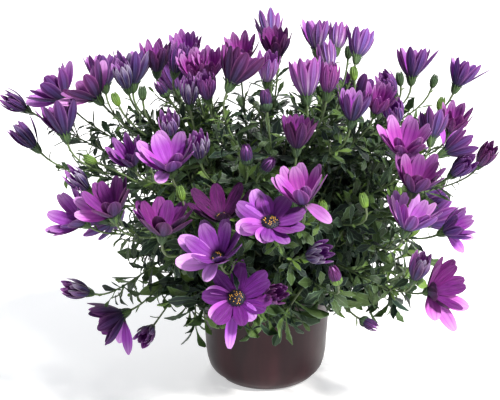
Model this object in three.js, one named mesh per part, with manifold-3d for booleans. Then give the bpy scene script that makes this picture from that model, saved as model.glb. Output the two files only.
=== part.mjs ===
// An osteospermum in its nursery pot: a dense dome of toothed leaves on six leafy stems, covered in
// purple daisies, most of them half shut. Millimetres, +Z up, origin at the middle of the pot's base,
// the plant's best side towards -Y.
import * as THREE from "three";
import { mergeVertices } from "three/addons/utils/BufferGeometryUtils.js";
import Module from "manifold-3d";

const wasm = await Module();
wasm.setup();

// ---------------------------------------------------------------- driving dimensions

const POT = {
  height: 100,
  baseRadius: 48,
  flank: [[54, 5], [58.2, 11], [61.2, 26]], // radius and height up the rounded foot of the wall
  rimRadius: 66,
  rimDrop: 16, // from the top down to the step under the rim band
  rimStep: 1.2,
  rimDraft: 0.8,
  lip: 1.5,
  wall: 1.8,
  floor: 2.5,
  floorRadius: 50,
  facets: 24,
};
// The drainage slots in the base edge; spread and the first one's bearing in degrees.
const NOTCH = { count: 3, height: 6, spread: 20, depth: 7, first: -26 };
const SOIL = {
  top: 88,
  radius: 60.8,
  mound: 3,
  shoulder: 40,
  crumb: 1.4,
  clearance: 1,
  lift: 0.4,
  facets: 16,
};
const SECTORS = 6; // leafy stems round the pot's axis
const STEM = {
  radius: 2.7, ring: 25, sunk: 20, neck: 6, hole: 3.7, reach: 22, top: 134, taper: 0.9, sides: 5,
};

// The dome that the blooms' mouths lie on, and the eye point that the blooms are set out from.
const DOME = { centre: new THREE.Vector3(-6, 0, 188), radii: new THREE.Vector3(232, 178, 178) };
const EYE = new THREE.Vector3(0, -1000, 540);
const AIM = new THREE.Vector3(-16.3, 0, 183.3);
const SHEET = { width: 500, height: 400, focal: 1082.6 }; // the viewing plane, in its own units

const PETAL = { thickness: 0.8, rootRadius: 4.2, widest: 0.68, overlap: 0.93, lengths: [0.95, 1.04] };
const LAYERS = [{ lean: 2, length: 1 }, { lean: -3, length: 0.94 }]; // the two layers of petals, in turn
const DISC_RISE = 2.5;
const CALYX = { length: 8, radius: 5.6, gap: 0.4 };
// A stalk: the pull of its two ends, what turning costs it as a share of its way, and how far under its
// bloom's foot it starts at no cost.
const STALK = {
  radius: 1.5, sides: 3, sunk: 4, stride: 50, starts: 150, tries: 60, outward: 0.4, leaving: 0.35,
  arriving: 0.3, turning: 0.5, headroom: 25,
};

// The blades: right-hand outlines in shares of breadth and length, marked where they run out to a
// point. A leaf is toothed; a spray is the three leaves of a shoot's tip on one rib.
const BLADES = {
  leaf: {
    length: 50,
    breadth: 16,
    thickness: 1.1,
    outline: [[0, 0, true], [0.38, 0.5], [0.28, 0.62], [0.45, 0.78], [0, 1, true]],
  },
  spray: {
    length: 58,
    breadth: 54,
    thickness: 1.1,
    outline: [
      [0, 0, true], [0.035, 0.3], [0.27, 0.43], [0.5, 0.74, true], [0.2, 0.67], [0.05, 0.5], [0.13, 0.74],
      [0, 1, true],
    ],
  },
};
const LEAF_SUNK = 7;
const LEAVES = { sprays: 9, leaves: 3, places: 30 }; // on each stem, and the places tried for each
// How the blades stand: rising by `rise`, or hanging by `hang` below the height `skirt` over a span.
const HABIT = {
  rise: 1.1, hang: 0.5, skirt: 142, span: 30, scatter: 1.5, twist: 0.6, least: 0.3, level: 0.5,
  sizes: [0.85, 1.15], droops: [0.35, 0.95], // radians
};
const CLEAR = 0.32; // between neighbouring nodes
const MIDDLE = 0.6; // of a bloom, as a share of its height
const NEIGHBOURHOOD = 110; // blooms further apart cannot meet
// How a corolla is turned to its neighbours: steps in degrees, what a miss or a graze costs, least overlap.
const TOUCHING = { step: 7, turns: 10, miss: 1000, graze: 5000, least: 0.5 };

// How far a corolla has opened: petals, lean from the axis at their foot and at their tip (degrees),
// length and breadth, and the least size that a bloom of that form has as a share of the full one.
const FORMS = {
  closed: { petals: 5, foot: 28, tip: -14, length: 33, breadth: 10.5, least: 0.82 },
  cup: { petals: 7, foot: 38, tip: 8, length: 34, breadth: 11.5, least: 0.82 },
  wide: { petals: 8, foot: 56, tip: 34, length: 34, breadth: 13.5, least: 0.95 },
  open: { petals: 9, foot: 80, tip: 66, length: 28, breadth: 12, least: 1 },
};

// The blooms: number, form, foot and mouth as column and row on the viewing plane, and how much
// deeper than the dome the mouth lies.
const BLOOMS = [
  [1, "closed", 31, 112, 5, 97, 0],
  [2, "closed", 41, 153, 15, 126, 0],
  [3, "wide", 70, 106, 47, 80, 0],
  [4, "cup", 64, 147, 53, 106, -10],
  [5, "wide", 106, 108, 80, 79, 0],
  [6, "cup", 106, 94, 101, 55, 20],
  [7, "closed", 125, 98, 116, 68, -14],
  [8, "cup", 133, 93, 133, 51, 0],
  [9, "cup", 157, 79, 156, 46, 9],
  [10, "closed", 172, 78, 178, 46, 2],
  [11, "cup", 188, 68, 187, 39, 20],
  [12, "cup", 196, 86, 193, 57, 6],
  [13, "cup", 210, 84, 209, 55, 14],
  [14, "closed", 209, 104, 204, 76, 0],
  [15, "wide", 223, 96, 240, 58, -14],
  [16, "cup", 241, 68, 241, 41, 25],
  [17, "closed", 187, 110, 185, 82, 0],
  [18, "cup", 271, 47, 268, 19, 25],
  [19, "cup", 277, 66, 275, 33, -4],
  [20, "closed", 266, 88, 269, 56, 0],
  [22, "cup", 303, 107, 300, 60, 0],
  [23, "cup", 312, 57, 311, 22, 0],
  [24, "closed", 335, 57, 339, 26, 0],
  [25, "closed", 330, 76, 325, 47, 24],
  [26, "closed", 326, 101, 330, 64, 0],
  [27, "cup", 357, 65, 363, 35, 0],
  [29, "closed", 397, 101, 383, 76, 22],
  [30, "cup", 411, 86, 413, 48, 0],
  [31, "cup", 453, 94, 467, 62, 0],
  [32, "cup", 350, 129, 356, 93, 0],
  [33, "cup", 373, 118, 383, 92, -6],
  [34, "closed", 399, 128, 394, 105, 12],
  [35, "wide", 402, 163, 406, 133, -10],
  [36, "cup", 430, 147, 434, 116, 14],
  [37, "cup", 447, 138, 459, 110, 4],
  [38, "cup", 437, 157, 468, 139, -14],
  [39, "closed", 476, 169, 491, 148, 0],
  [40, "closed", 450, 184, 471, 167, -10],
  [41, "wide", 411, 198, 420, 169, -26],
  [42, "wide", 403, 238, 415, 206, -10],
  [43, "cup", 437, 235, 467, 222, 0],
  [44, "closed", 412, 285, 423, 257, 10],
  [45, "wide", 423, 293, 451, 287, -14],
  [46, "cup", 296, 157, 299, 120, 0],
  [47, "wide", 172, 178, 166, 147, -12],
  [48, "closed", 172, 138, 168, 117, 30],
  [49, "closed", 209, 159, 206, 133, 0],
  [50, "cup", 135, 171, 124, 146, 8],
  [51, "closed", 92, 186, 71, 165, 8],
  [52, "wide", 90, 227, 64, 210, 0],
  [53, "wide", 116, 223, 104, 194, -6],
  [54, "wide", 162, 244, 163, 210, -6],
  [55, "wide", 223, 226, 220, 196, 20],
  [56, "wide", 221, 265, 211, 240, -14],
  [57, "open", 267, 233, 268, 219.5, -8],
  [58, "wide", 304, 211, 300, 180, -6],
  [60, "open", 237, 301, 236, 296, 6],
  [61, "closed", 270, 298, 282, 292, 6],
  [62, "closed", 303, 257, 326, 252, 0],
  [64, "closed", 94, 294, 67, 287, 0],
  [65, "cup", 131, 310, 94, 328, 0],
  [66, "closed", 153, 326, 143, 339, 40],
];
const FACING_AWAY = new Set([18, 24, 25, 27, 36, 38]);

// Blooms whose petals run into a neighbour's: number, neighbour, and how far it is moved against it.
const LEANING = [
  [4, 5, 4.6], [9, 8, 0], [7, 8, 7.4], [11, 9, 1.9], [10, 12, 2], [17, 14, 3], [15, 20, 2.5], [22, 26, 4],
  [27, 24, 1.6], [23, 24, 4.2], [34, 33, 2.6], [40, 38, 6], [49, 47, 8], [51, 52, 6.5], [55, 56, 1.2],
  [57, 58, 3.2], [61, 60, 2.9],
];

// Sprays of three blooms each over the back of the dome: bearing from +X and height on it, degrees.
const BACK_SPRAYS = [
  [30, -14], [46, 6], [80, -8], [112, 2], [146, -14], [64, 28], [122, 38],
];
const SPRAY = {
  firstNumber: 71,
  forms: ["cup", "wide", "closed"],
  reach: { cup: 19.4, wide: 26, closed: 10.6 },
  splay: 16,
  spin: 47,
  lift: 0.55,
  shrink: 0.97,
};

// Buds still on their stalks: colour, foot and tip as column and row, and how much deeper a tip lies.
const BUDS = [
  ["green", 119, 106, 113, 93],
  ["green", 143, 103, 142, 86],
  ["green", 98, 163, 83, 157],
  ["green", 183, 203, 179, 186],
  ["green", 348, 59, 349, 47, 30],
  ["green", 355, 84, 353, 66],
  ["green", 401, 88, 399, 72],
  ["green", 430, 93, 436, 75],
  ["green", 438, 112, 443, 97],
  ["green", 366, 208, 362, 193],
  ["green", 324, 213, 322, 202],
  ["green", 397, 201, 398, 187, 20],
  ["purple", 267, 112, 265, 92],
  ["purple", 338, 285, 333, 269],
  ["purple", 360, 319, 375, 327],
  ["purple", 262, 172, 271, 161],
  ["purple", 247, 165, 246, 148],
  ["purple", 168, 97, 158, 83],
];
const BUD = {
  depth: 14, least: 0.9, widest: 0.4, tip: 0.15,
  green: { radius: 3.6, length: 13 },
  purple: { radius: 5, length: 19 },
};

const SEEDS = { soil: 11, cores: 100, stalks: 300, buds: 500, blades: 1000 };

// ---------------------------------------------------------------- colours

const COLOURS = {
  pot: material(0x5c3439, 0.42),
  soil: material(0x2c211b, 0.95),
  foliage: material(0x3f6b2c, 0.6),
  corolla: material(0x9a3fb0, 0.55),
};

function material(color, roughness) {
  return new THREE.MeshStandardMaterial({ color, roughness, metalness: 0 });
}

// ---------------------------------------------------------------- helpers

const UP = new THREE.Vector3(0, 0, 1);
const radians = THREE.MathUtils.degToRad;

/** A seeded draw, 0 to 1 at each call. */
function draws(seed) {
  let state = seed >>> 0;
  return () => {
    state = (state + 0x6d2b79f5) >>> 0;
    let t = state;
    t = Math.imul(t ^ (t >>> 15), t | 1);
    t ^= t + Math.imul(t ^ (t >>> 7), t | 61);
    return ((t ^ (t >>> 14)) >>> 0) / 4294967296;
  };
}

function between([low, high], draw) {
  return low + (high - low) * draw();
}

function geometryOf(points, triangles) {
  const geometry = new THREE.BufferGeometry().setFromPoints(points);
  geometry.setIndex(triangles.flat());
  return geometry;
}

/** A closed three.js geometry as a manifold solid. */
function solidOf(geometry) {
  geometry.deleteAttribute("normal");
  geometry.deleteAttribute("uv");
  const merged = mergeVertices(geometry, 1e-3);
  const corners = merged.index.array;
  const kept = [];
  for (let i = 0; i < corners.length; i += 3) {
    const [a, b, c] = [corners[i], corners[i + 1], corners[i + 2]];
    if (a !== b && b !== c && c !== a) kept.push(a, b, c);
  }
  return new wasm.Manifold(
    new wasm.Mesh({
      numProp: 3,
      vertProperties: merged.attributes.position.array,
      triVerts: new Uint32Array(kept),
    }),
  );
}

/** A manifold solid as a named mesh. */
function nodeOf(name, solid, colour) {
  const { vertProperties, triVerts } = solid.getMesh();
  const geometry = new THREE.BufferGeometry()
    .setAttribute("position", new THREE.BufferAttribute(vertProperties, 3))
    .setIndex(new THREE.BufferAttribute(triVerts, 1));
  geometry.computeVertexNormals();
  const mesh = new THREE.Mesh(geometry, colour);
  mesh.name = name;
  return mesh;
}

/** A closed skin over rings of points, which turn counter-clockwise seen from the last one. */
function skinOf(rings) {
  const sides = rings[0].length;
  const last = (rings.length - 1) * sides;
  const triangles = [];
  for (let ring = 0; ring < rings.length - 1; ring++)
    for (let side = 0; side < sides; side++) {
      const a = ring * sides + side;
      const b = ring * sides + ((side + 1) % sides);
      triangles.push([a, b, b + sides], [a, b + sides, a + sides]);
    }
  for (let side = 1; side < sides - 1; side++)
    triangles.push([0, side + 1, side], [last, last + side, last + side + 1]);
  return geometryOf(rings.flat(), triangles);
}

/** A tube of few sides along points, with a radius at each. */
function tubeOf(points, radii, sides) {
  let across = new THREE.Vector3(1, 0, 0);
  const rings = points.map((point, i) => {
    const before = points[Math.max(i - 1, 0)];
    const after = points[Math.min(i + 1, points.length - 1)];
    const along = after.clone().sub(before).normalize();
    if (Math.abs(along.dot(across)) > 0.9) across = new THREE.Vector3(0, 1, 0);
    across.addScaledVector(along, -across.dot(along)).normalize();
    const third = along.clone().cross(across);
    const ring = [];
    for (let side = 0; side < sides; side++) {
      const turn = (2 * Math.PI * side) / sides;
      ring.push(
        point.clone()
          .addScaledVector(across, radii[i] * Math.cos(turn))
          .addScaledVector(third, radii[i] * Math.sin(turn)),
      );
    }
    across = across.clone();
    return ring;
  });
  return solidOf(skinOf(rings));
}

/** The matrix that stands a piece made along +Z at a point, along an axis, turned about it. */
function standing(point, axis, turn) {
  const tilt = new THREE.Quaternion().setFromUnitVectors(UP, axis);
  const spin = new THREE.Quaternion().setFromAxisAngle(UP, turn);
  return new THREE.Matrix4().compose(point, tilt.multiply(spin), new THREE.Vector3(1, 1, 1));
}

/** Whether a solid keeps its distance to every other one given. */
function isClear(solid, others, gap = CLEAR) {
  const { min, max } = solid.boundingBox();
  return others.every((other) => {
    const box = other.boundingBox();
    const apart = [0, 1, 2].some((k) => box.min[k] > max[k] + gap || box.max[k] < min[k] - gap);
    return apart || solid.minGap(other, gap + 0.1) >= gap;
  });
}

// ---------------------------------------------------------------- the pot and its soil

function outerWall() {
  const { height, baseRadius, flank, rimRadius, rimDrop, rimStep, rimDraft, lip } = POT;
  return [
    [baseRadius, 0],
    ...flank,
    [rimRadius - rimStep - rimDraft, height - rimDrop],
    [rimRadius - rimDraft, height - rimDrop],
    [rimRadius, height - lip],
    [rimRadius - lip / 2, height],
  ];
}

/** The inner wall's profile, from the lip down to the floor. */
function innerWall() {
  const { height, flank, rimRadius, rimStep, wall, floor, floorRadius } = POT;
  const [low, high] = flank.slice(1).map(([radius, z]) => [radius - wall, z]);
  return [[rimRadius - rimStep - wall, height], high, low, [floorRadius, floor]];
}

function latheOf(profile, segments) {
  const points = profile.map(([radius, z]) => new THREE.Vector2(radius, z));
  return new THREE.LatheGeometry(points, segments).rotateX(Math.PI / 2);
}

function pot() {
  const profile = [[0, 0], ...outerWall(), ...innerWall(), [0, POT.floor]];
  let body = solidOf(latheOf(profile, POT.facets));
  const inner = POT.baseRadius - NOTCH.depth;
  const outer = POT.rimRadius;
  for (let i = 0; i < NOTCH.count; i++) {
    const middle = NOTCH.first + (360 / NOTCH.count) * i;
    const from = radians(middle - NOTCH.spread / 2);
    const to = radians(middle + NOTCH.spread / 2);
    const slot = new THREE.Shape().absarc(0, 0, inner, from, to, false).absarc(0, 0, outer, to, from, true);
    const cutter = new THREE.ExtrudeGeometry(slot, {
      depth: NOTCH.height + 1,
      bevelEnabled: false,
      curveSegments: 3,
    }).translate(0, 0, -1);
    body = body.subtract(solidOf(cutter));
  }
  return body;
}

function soil() {
  const { top, radius, mound, shoulder, crumb, clearance, lift, facets } = SOIL;
  const [, high, low, foot] = innerWall();
  const profile = [
    [0, POT.floor + lift],
    [foot[0] - clearance, foot[1] + lift],
    [low[0] - clearance, low[1]],
    [high[0] - clearance, high[1]],
    [radius, top - crumb],
    [shoulder, top + mound / 2],
    [0, top + mound],
  ];
  const geometry = latheOf(profile, facets);
  geometry.deleteAttribute("normal");
  geometry.deleteAttribute("uv");
  const merged = mergeVertices(geometry, 1e-3);
  const draw = draws(SEEDS.soil);
  const at = merged.attributes.position;
  for (let i = 0; i < at.count; i++) {
    if (at.getZ(i) > top) at.setZ(i, at.getZ(i) + crumb * (draw() * 2 - 1));
  }
  let body = solidOf(merged);
  for (let sector = 0; sector < SECTORS; sector++) {
    const depth = STEM.sunk + 2 * STEM.neck;
    const hole = new THREE.CylinderGeometry(STEM.hole, STEM.hole, depth, STEM.sides + 1)
      .rotateX(Math.PI / 2)
      .translate(...stemFoot(sector).toArray())
      .translate(0, 0, depth / 2 - 1);
    body = body.subtract(solidOf(hole));
  }
  return body;
}

// ---------------------------------------------------------------- where the blooms stand

/** The unit direction from the eye through a place on the viewing plane. */
function sight(column, row) {
  const forward = AIM.clone().sub(EYE).normalize();
  const right = forward.clone().cross(UP).normalize();
  const upward = right.clone().cross(forward);
  return forward
    .multiplyScalar(SHEET.focal)
    .addScaledVector(right, column - SHEET.width / 2)
    .addScaledVector(upward, SHEET.height / 2 - row)
    .normalize();
}

/** Where a line of sight meets the dome, shrunk by a length, or where it passes closest to it. */
function onDome(direction, shrink) {
  const radii = DOME.radii.clone().subScalar(shrink);
  const from = EYE.clone().sub(DOME.centre).divide(radii);
  const along = direction.clone().divide(radii);
  const a = along.lengthSq();
  const b = from.dot(along);
  const c = from.lengthSq() - 1;
  const root = Math.sqrt(Math.max(0, b * b - a * c));
  return EYE.clone().addScaledVector(direction, (-b - root) / a);
}

function domeNormal(point) {
  const square = DOME.radii.clone().multiply(DOME.radii);
  return point.clone().sub(DOME.centre).divide(square).normalize();
}

/** How far a point at a share of a petal's length stands from the axis and above the petal's foot. */
function petalPoint({ foot, tip, length }, share, tilt = 0) {
  const from = radians(foot + tilt);
  const turn = radians(tip - foot);
  const lean = from + turn * share;
  return {
    radius: PETAL.rootRadius + (length / turn) * (Math.cos(from) - Math.cos(lean)),
    height: (length / turn) * (Math.sin(lean) - Math.sin(from)),
    lean,
  };
}

function heightOf(form) {
  return CALYX.length + petalPoint(FORMS[form], 1).height;
}

/** A stance: the foot of the calyx and the axis, from where foot and mouth are seen. */
function stance(footAt, mouthAt, length, least, deeper, away, shrink = 0) {
  const towardMouth = sight(...mouthAt);
  const towardFoot = sight(...footAt);
  const mouth = onDome(towardMouth, shrink).addScaledVector(towardMouth, deeper);
  const reach = mouth.clone().sub(EYE);
  const along = reach.dot(towardFoot);
  const apart = Math.sqrt(reach.lengthSq() - along * along);
  const scale = THREE.MathUtils.clamp(apart / length, least, 1);
  const depth = Math.sqrt(Math.max(0, (length * scale) ** 2 - apart * apart));
  const outward = domeNormal(mouth).addScaledVector(UP, 0.5);
  const axes = [along + depth, along - depth].map((distance) =>
    mouth.clone().sub(EYE.clone().addScaledVector(towardFoot, distance)).normalize(),
  );
  const deepFirst = axes[0].dot(outward) >= axes[1].dot(outward);
  const axis = deepFirst !== away ? axes[0] : axes[1];
  return { foot: mouth.clone().addScaledVector(axis, -length * scale), axis, scale };
}

function frontBlooms() {
  const blooms = BLOOMS.map(([number, form, footColumn, footRow, mouthColumn, mouthRow, deeper]) => ({
    number,
    form,
    holds: new Set(),
    ...stance(
      [footColumn, footRow],
      [mouthColumn, mouthRow],
      heightOf(form),
      FORMS[form].least,
      deeper,
      FACING_AWAY.has(number),
    ),
  }));
  const middleOf = ({ form, foot, axis, scale }) =>
    foot.clone().addScaledVector(axis, heightOf(form) * scale * MIDDLE);
  for (const [number, neighbour, shift] of LEANING) {
    const bloom = blooms.find((each) => each.number === number);
    const other = blooms.find((each) => each.number === neighbour);
    const way = middleOf(other).sub(middleOf(bloom)).normalize();
    bloom.foot.addScaledVector(way, shift);
    const second = number > neighbour ? bloom : other;
    second.holds.add(Math.min(number, neighbour));
  }
  return blooms;
}

function backBlooms() {
  const { firstNumber, forms, reach, splay, spin, lift: rising, shrink } = SPRAY;
  return BACK_SPRAYS.flatMap(([bearing, rise], spray) => {
    const turn = radians(bearing);
    const lift = radians(rise);
    const outward = new THREE.Vector3(
      Math.cos(turn) * Math.cos(lift),
      Math.sin(turn) * Math.cos(lift),
      Math.sin(lift),
    );
    const middle = outward.clone().multiply(DOME.radii).multiplyScalar(shrink).add(DOME.centre);
    const normal = domeNormal(middle).addScaledVector(UP, rising).normalize();
    const across = normal.clone().cross(UP).normalize();
    const upward = across.clone().cross(normal);
    return forms.map((form, i) => {
      const clock = radians((360 / forms.length) * i + spin * spray);
      const offset = across.clone().multiplyScalar(Math.cos(clock)).addScaledVector(upward, Math.sin(clock));
      const axis = normal.clone().addScaledVector(offset, Math.tan(radians(splay))).normalize();
      const mouth = middle.clone().addScaledVector(offset, reach[form]);
      const number = firstNumber + spray * forms.length + i;
      return {
        number,
        form,
        holds: new Set(i ? [number - 1] : []),
        axis,
        scale: 1,
        foot: mouth.addScaledVector(axis, -heightOf(form)),
      };
    });
  });
}

// ---------------------------------------------------------------- corollas

/** One closed shell of petals round a floor, made along +Z from its foot. */
function corollaGeometry(form, scale, draw) {
  const shape = FORMS[form];
  const { petals } = shape;
  const { thickness, rootRadius, widest, overlap } = PETAL;
  const slice = (2 * Math.PI) / petals;
  const points = [];
  const triangles = [];
  const put = (radius, turn, across, z) => {
    points.push(
      new THREE.Vector3(
        radius * Math.cos(turn) - across * Math.sin(turn),
        radius * Math.sin(turn) + across * Math.cos(turn),
        z,
      ),
    );
    return points.length - 1;
  };
  const outer = [];
  const inner = [];
  for (let i = 0; i < petals; i++) {
    outer.push(put(rootRadius, slice * i, 0, 0));
    inner.push(put(rootRadius - thickness, slice * i, 0, thickness));
  }
  for (let i = 0; i < petals; i++) {
    const next = (i + 1) % petals;
    const turn = slice * (i + 0.5);
    const layer = LAYERS[i % 2];
    const blade = { ...shape, length: shape.length * layer.length * between(PETAL.lengths, draw) };
    const middle = petalPoint(blade, widest, layer.lean);
    const tip = petalPoint(blade, 1, layer.lean + 5 * (draw() - 0.5));
    const room = overlap * middle.radius * 2 * Math.sin(slice / 2);
    const half = Math.min(shape.breadth, room) / 2;
    const back = thickness * Math.cos(middle.lean);
    const lift = thickness * Math.sin(middle.lean);
    const left = put(middle.radius, turn, -half, middle.height);
    const right = put(middle.radius, turn, half, middle.height);
    const leftIn = put(middle.radius - back, turn, -half, middle.height + lift);
    const rightIn = put(middle.radius - back, turn, half, middle.height + lift);
    const end = put(tip.radius, turn, 0, tip.height);
    const [a, b, c, d] = [outer[i], outer[next], inner[i], inner[next]];
    triangles.push(
      [a, b, right], [a, right, left], [left, right, end],
      [c, rightIn, d], [c, leftIn, rightIn], [leftIn, end, rightIn],
      [right, b, d], [right, d, rightIn], [end, right, rightIn],
      [a, left, leftIn], [a, leftIn, c], [left, end, leftIn],
    );
  }
  for (let i = 1; i < petals - 1; i++) triangles.push([outer[0], outer[i + 1], outer[i]]);
  if (form === "open") {
    const disc = put(0, 0, 0, thickness + DISC_RISE);
    for (let i = 0; i < petals; i++) triangles.push([disc, inner[i], inner[(i + 1) % petals]]);
  } else {
    for (let i = 1; i < petals - 1; i++) triangles.push([inner[0], inner[i], inner[i + 1]]);
  }
  return geometryOf(points, triangles).scale(scale, scale, scale);
}

/** What it costs to have a solid beside another: facets where they meet, more where they just do. */
function meetingCost(solid, other, held) {
  const gap = solid.minGap(other, CLEAR + 0.1);
  const { miss, graze, least } = TOUCHING;
  if (gap > 0) return (gap < CLEAR ? graze : 0) + (held ? miss : 0);
  const isGraze = solid.intersect(other).volume() < least;
  return solid.add(other).numTri() - solid.numTri() - other.numTri() + (isGraze ? graze : 0);
}

/** A bloom's corolla, turned so that it meets those that hold it and keeps well clear of the rest. */
function corolla(bloom, neighbours) {
  const base = bloom.foot.clone().addScaledVector(bloom.axis, CALYX.length + CALYX.gap);
  let best = null;
  for (let attempt = 0; attempt < TOUCHING.turns; attempt++) {
    const turn = radians(bloom.number * 37 + attempt * TOUCHING.step);
    const geometry = corollaGeometry(bloom.form, bloom.scale, draws(bloom.number));
    const solid = solidOf(geometry.applyMatrix4(standing(base, bloom.axis, turn)));
    const costs = neighbours.map((other) => meetingCost(solid, other.solid, bloom.holds.has(other.number)));
    const cost = costs.reduce((sum, each) => sum + each, 0);
    if (!best || cost < best.cost) best = { solid, cost };
  }
  return best.solid;
}

/** The blooms in groups that hold together as one body, each with its solid. */
function bloomGroups(blooms) {
  const groups = [];
  for (const bloom of blooms) {
    const met = groups.filter((group) => bloom.solid.intersect(group.solid).volume() > 0);
    const members = [...met.flatMap((group) => group.members), bloom];
    const solid = wasm.Manifold.union([...met.map((group) => group.solid), bloom.solid]);
    for (const group of met) groups.splice(groups.indexOf(group), 1);
    groups.push({ members, solid });
  }
  return groups;
}

function groupName({ members }) {
  const numbers = members.map(({ number }) => String(number).padStart(2, "0")).sort();
  return (numbers.length > 1 ? "blooms_" : "bloom_") + numbers.join("_");
}

// ---------------------------------------------------------------- leafy stems

/** The core of a stem's leaves: rings of radius and height, from under the foliage to its top. */
const CORE_PROFILE = [
  [15, 122], [62, 112], [94, 128], [103, 168], [92, 212], [60, 245], [15, 258],
];
const CORE = { stretch: 1.12, gap: 1, rough: 13, columns: 4, margin: 0.15 };
const TUFT = { height: 13, heights: [0.7, 1.3], rise: 0.4, underside: -0.3 };

function bearingOf(sector) {
  return radians(-90 + (360 / SECTORS) * sector);
}

function sectorOf(point) {
  const turn = THREE.MathUtils.radToDeg(Math.atan2(point.y, point.x / CORE.stretch)) + 90;
  return Math.round(turn / (360 / SECTORS) + SECTORS) % SECTORS;
}

function stemFoot(sector) {
  const turn = bearingOf(sector);
  return new THREE.Vector3(STEM.ring * Math.cos(turn), STEM.ring * Math.sin(turn), SOIL.top - STEM.sunk);
}

/** A facet of a core raised to a tuft's point in its middle; those that face down stay flat. */
function tuftOn(corners, points, draw) {
  const facet = new THREE.Triangle(...corners.map((i) => points[i]));
  const normal = facet.getNormal(new THREE.Vector3());
  const height = TUFT.height * between(TUFT.heights, draw);
  if (normal.z < TUFT.underside) return [corners];
  const peak = facet.getMidpoint(new THREE.Vector3()).addScaledVector(normal, height);
  points.push(peak.addScaledVector(UP, height * TUFT.rise));
  const [a, b, c] = corners;
  const top = points.length - 1;
  return [[a, b, top], [b, c, top], [c, a, top]];
}

/** The wedge-shaped core of one stem's foliage, and the outer facets that leaves and stalks grow from. */
function core(sector) {
  const draw = draws(SEEDS.cores + sector);
  const rings = CORE_PROFILE.length;
  const points = [];
  for (let column = 0; column <= CORE.columns; column++) {
    const side = (2 * column) / CORE.columns - 1;
    const turn = bearingOf(sector) + (side * Math.PI) / SECTORS;
    const inset = Math.abs(side) === 1 ? side * CORE.gap : 0;
    CORE_PROFILE.forEach(([radius, z], ring) => {
      const inner = ring === 0 || ring === rings - 1;
      const rough = inner ? 0 : CORE.rough;
      const reach = radius + rough * (draw() - 0.5);
      points.push(
        new THREE.Vector3(
          (reach * Math.cos(turn) + inset * Math.sin(turn)) * CORE.stretch,
          reach * Math.sin(turn) - inset * Math.cos(turn),
          z + rough * (draw() - 0.5),
        ),
      );
    });
  }
  const outer = [];
  const back = [];
  for (let column = 0; column < CORE.columns; column++) {
    const first = column * rings;
    for (let ring = 0; ring < rings - 1; ring++) {
      const a = first + ring;
      outer.push([a, a + rings, a + rings + 1], [a, a + rings + 1, a + 1]);
    }
    const top = first + rings - 1;
    back.push([first, top, top + rings], [first, top + rings, first + rings]);
  }
  const sides = [];
  const last = CORE.columns * rings;
  for (let ring = 1; ring < rings - 1; ring++)
    sides.push([0, ring, ring + 1], [last, last + ring + 1, last + ring]);
  const tufts = outer.flatMap((corners) => tuftOn(corners, points, draw));
  const facets = outer.map((corners) => new THREE.Triangle(...corners.map((i) => points[i])));
  return { solid: solidOf(geometryOf(points, [...tufts, ...sides, ...back])), facets };
}

/** A draw of places on a core's outer facets, each with its normal. */
function placesOn(facets, count, draw) {
  const areas = facets.map((facet) => facet.getArea());
  const whole = areas.reduce((sum, area) => sum + area, 0);
  const places = [];
  while (places.length < count) {
    let pick = draw() * whole;
    const facet = facets.find((_, i) => (pick -= areas[i]) <= 0) ?? facets[0];
    let [u, v] = [draw(), draw()];
    if (u + v > 1) [u, v] = [1 - u, 1 - v];
    [u, v] = [u, v].map((share) => CORE.margin + (1 - 3 * CORE.margin) * share);
    const point = facet.a.clone().multiplyScalar(1 - u - v);
    point.addScaledVector(facet.b, u).addScaledVector(facet.c, v);
    places.push({ point, normal: facet.getNormal(new THREE.Vector3()) });
  }
  return places;
}

/** The main stem, from its hole in the soil up into the core. */
function mainStem(sector) {
  const foot = stemFoot(sector).addScaledVector(UP, 1);
  const outward = new THREE.Vector3(foot.x, foot.y, 0).normalize();
  const points = [
    foot,
    foot.clone().setZ(SOIL.top + STEM.neck),
    foot.clone().addScaledVector(outward, STEM.reach).setZ(STEM.top),
  ];
  return tubeOf(points, [STEM.radius, STEM.radius, STEM.radius * STEM.taper], STEM.sides);
}

/** A stalk that leaves the core at a place and ends square under a bloom or bud. */
function stalkPath(place, foot, axis) {
  const start = place.point.clone().addScaledVector(place.normal, -STALK.sunk);
  const span = start.distanceTo(foot);
  const outward = foot.clone().sub(start).normalize();
  outward.addScaledVector(place.normal, STALK.outward).normalize();
  return new THREE.CubicBezierCurve3(
    start,
    start.clone().addScaledVector(outward, span * STALK.leaving),
    foot.clone().addScaledVector(axis, -span * STALK.arriving),
    foot,
  );
}

/** The rest of a stalk past its foot: lengths along the axis and radii. */
function calyxEnd(scale) {
  return [[CALYX.length, CALYX.radius * scale]];
}

function budEnd({ radius, length }) {
  return [[length * BUD.widest, radius], [length, radius * BUD.tip]];
}

function stalk(place, { foot, axis }, end) {
  const path = stalkPath(place, foot, axis);
  const steps = THREE.MathUtils.clamp(Math.round(path.getLength() / STALK.stride), 1, 4);
  const points = path.getPoints(steps);
  const radii = points.map(() => STALK.radius);
  for (const [along, radius] of end) {
    points.push(foot.clone().addScaledVector(axis, along));
    radii.push(radius);
  }
  return tubeOf(points, radii, STALK.sides);
}

/** The clear stalk with the shortest way from a core. */
function clearStalk(places, target, end, others) {
  const cost = ({ point, normal }) => {
    const way = target.foot.clone().sub(point);
    const turn = 1 - way.clone().normalize().dot(normal);
    const drop = Math.max(0, point.z - target.foot.z + STALK.headroom);
    return way.length() * (1 + STALK.turning * turn) + drop;
  };
  const sorted = [...places].sort((a, b) => cost(a) - cost(b));
  for (const place of sorted.slice(0, STALK.tries)) {
    const solid = stalk(place, target, end);
    if (isClear(solid, others)) return solid;
  }
  throw new Error("no clear way from the core to " + target.foot.toArray().join(", "));
}

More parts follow.
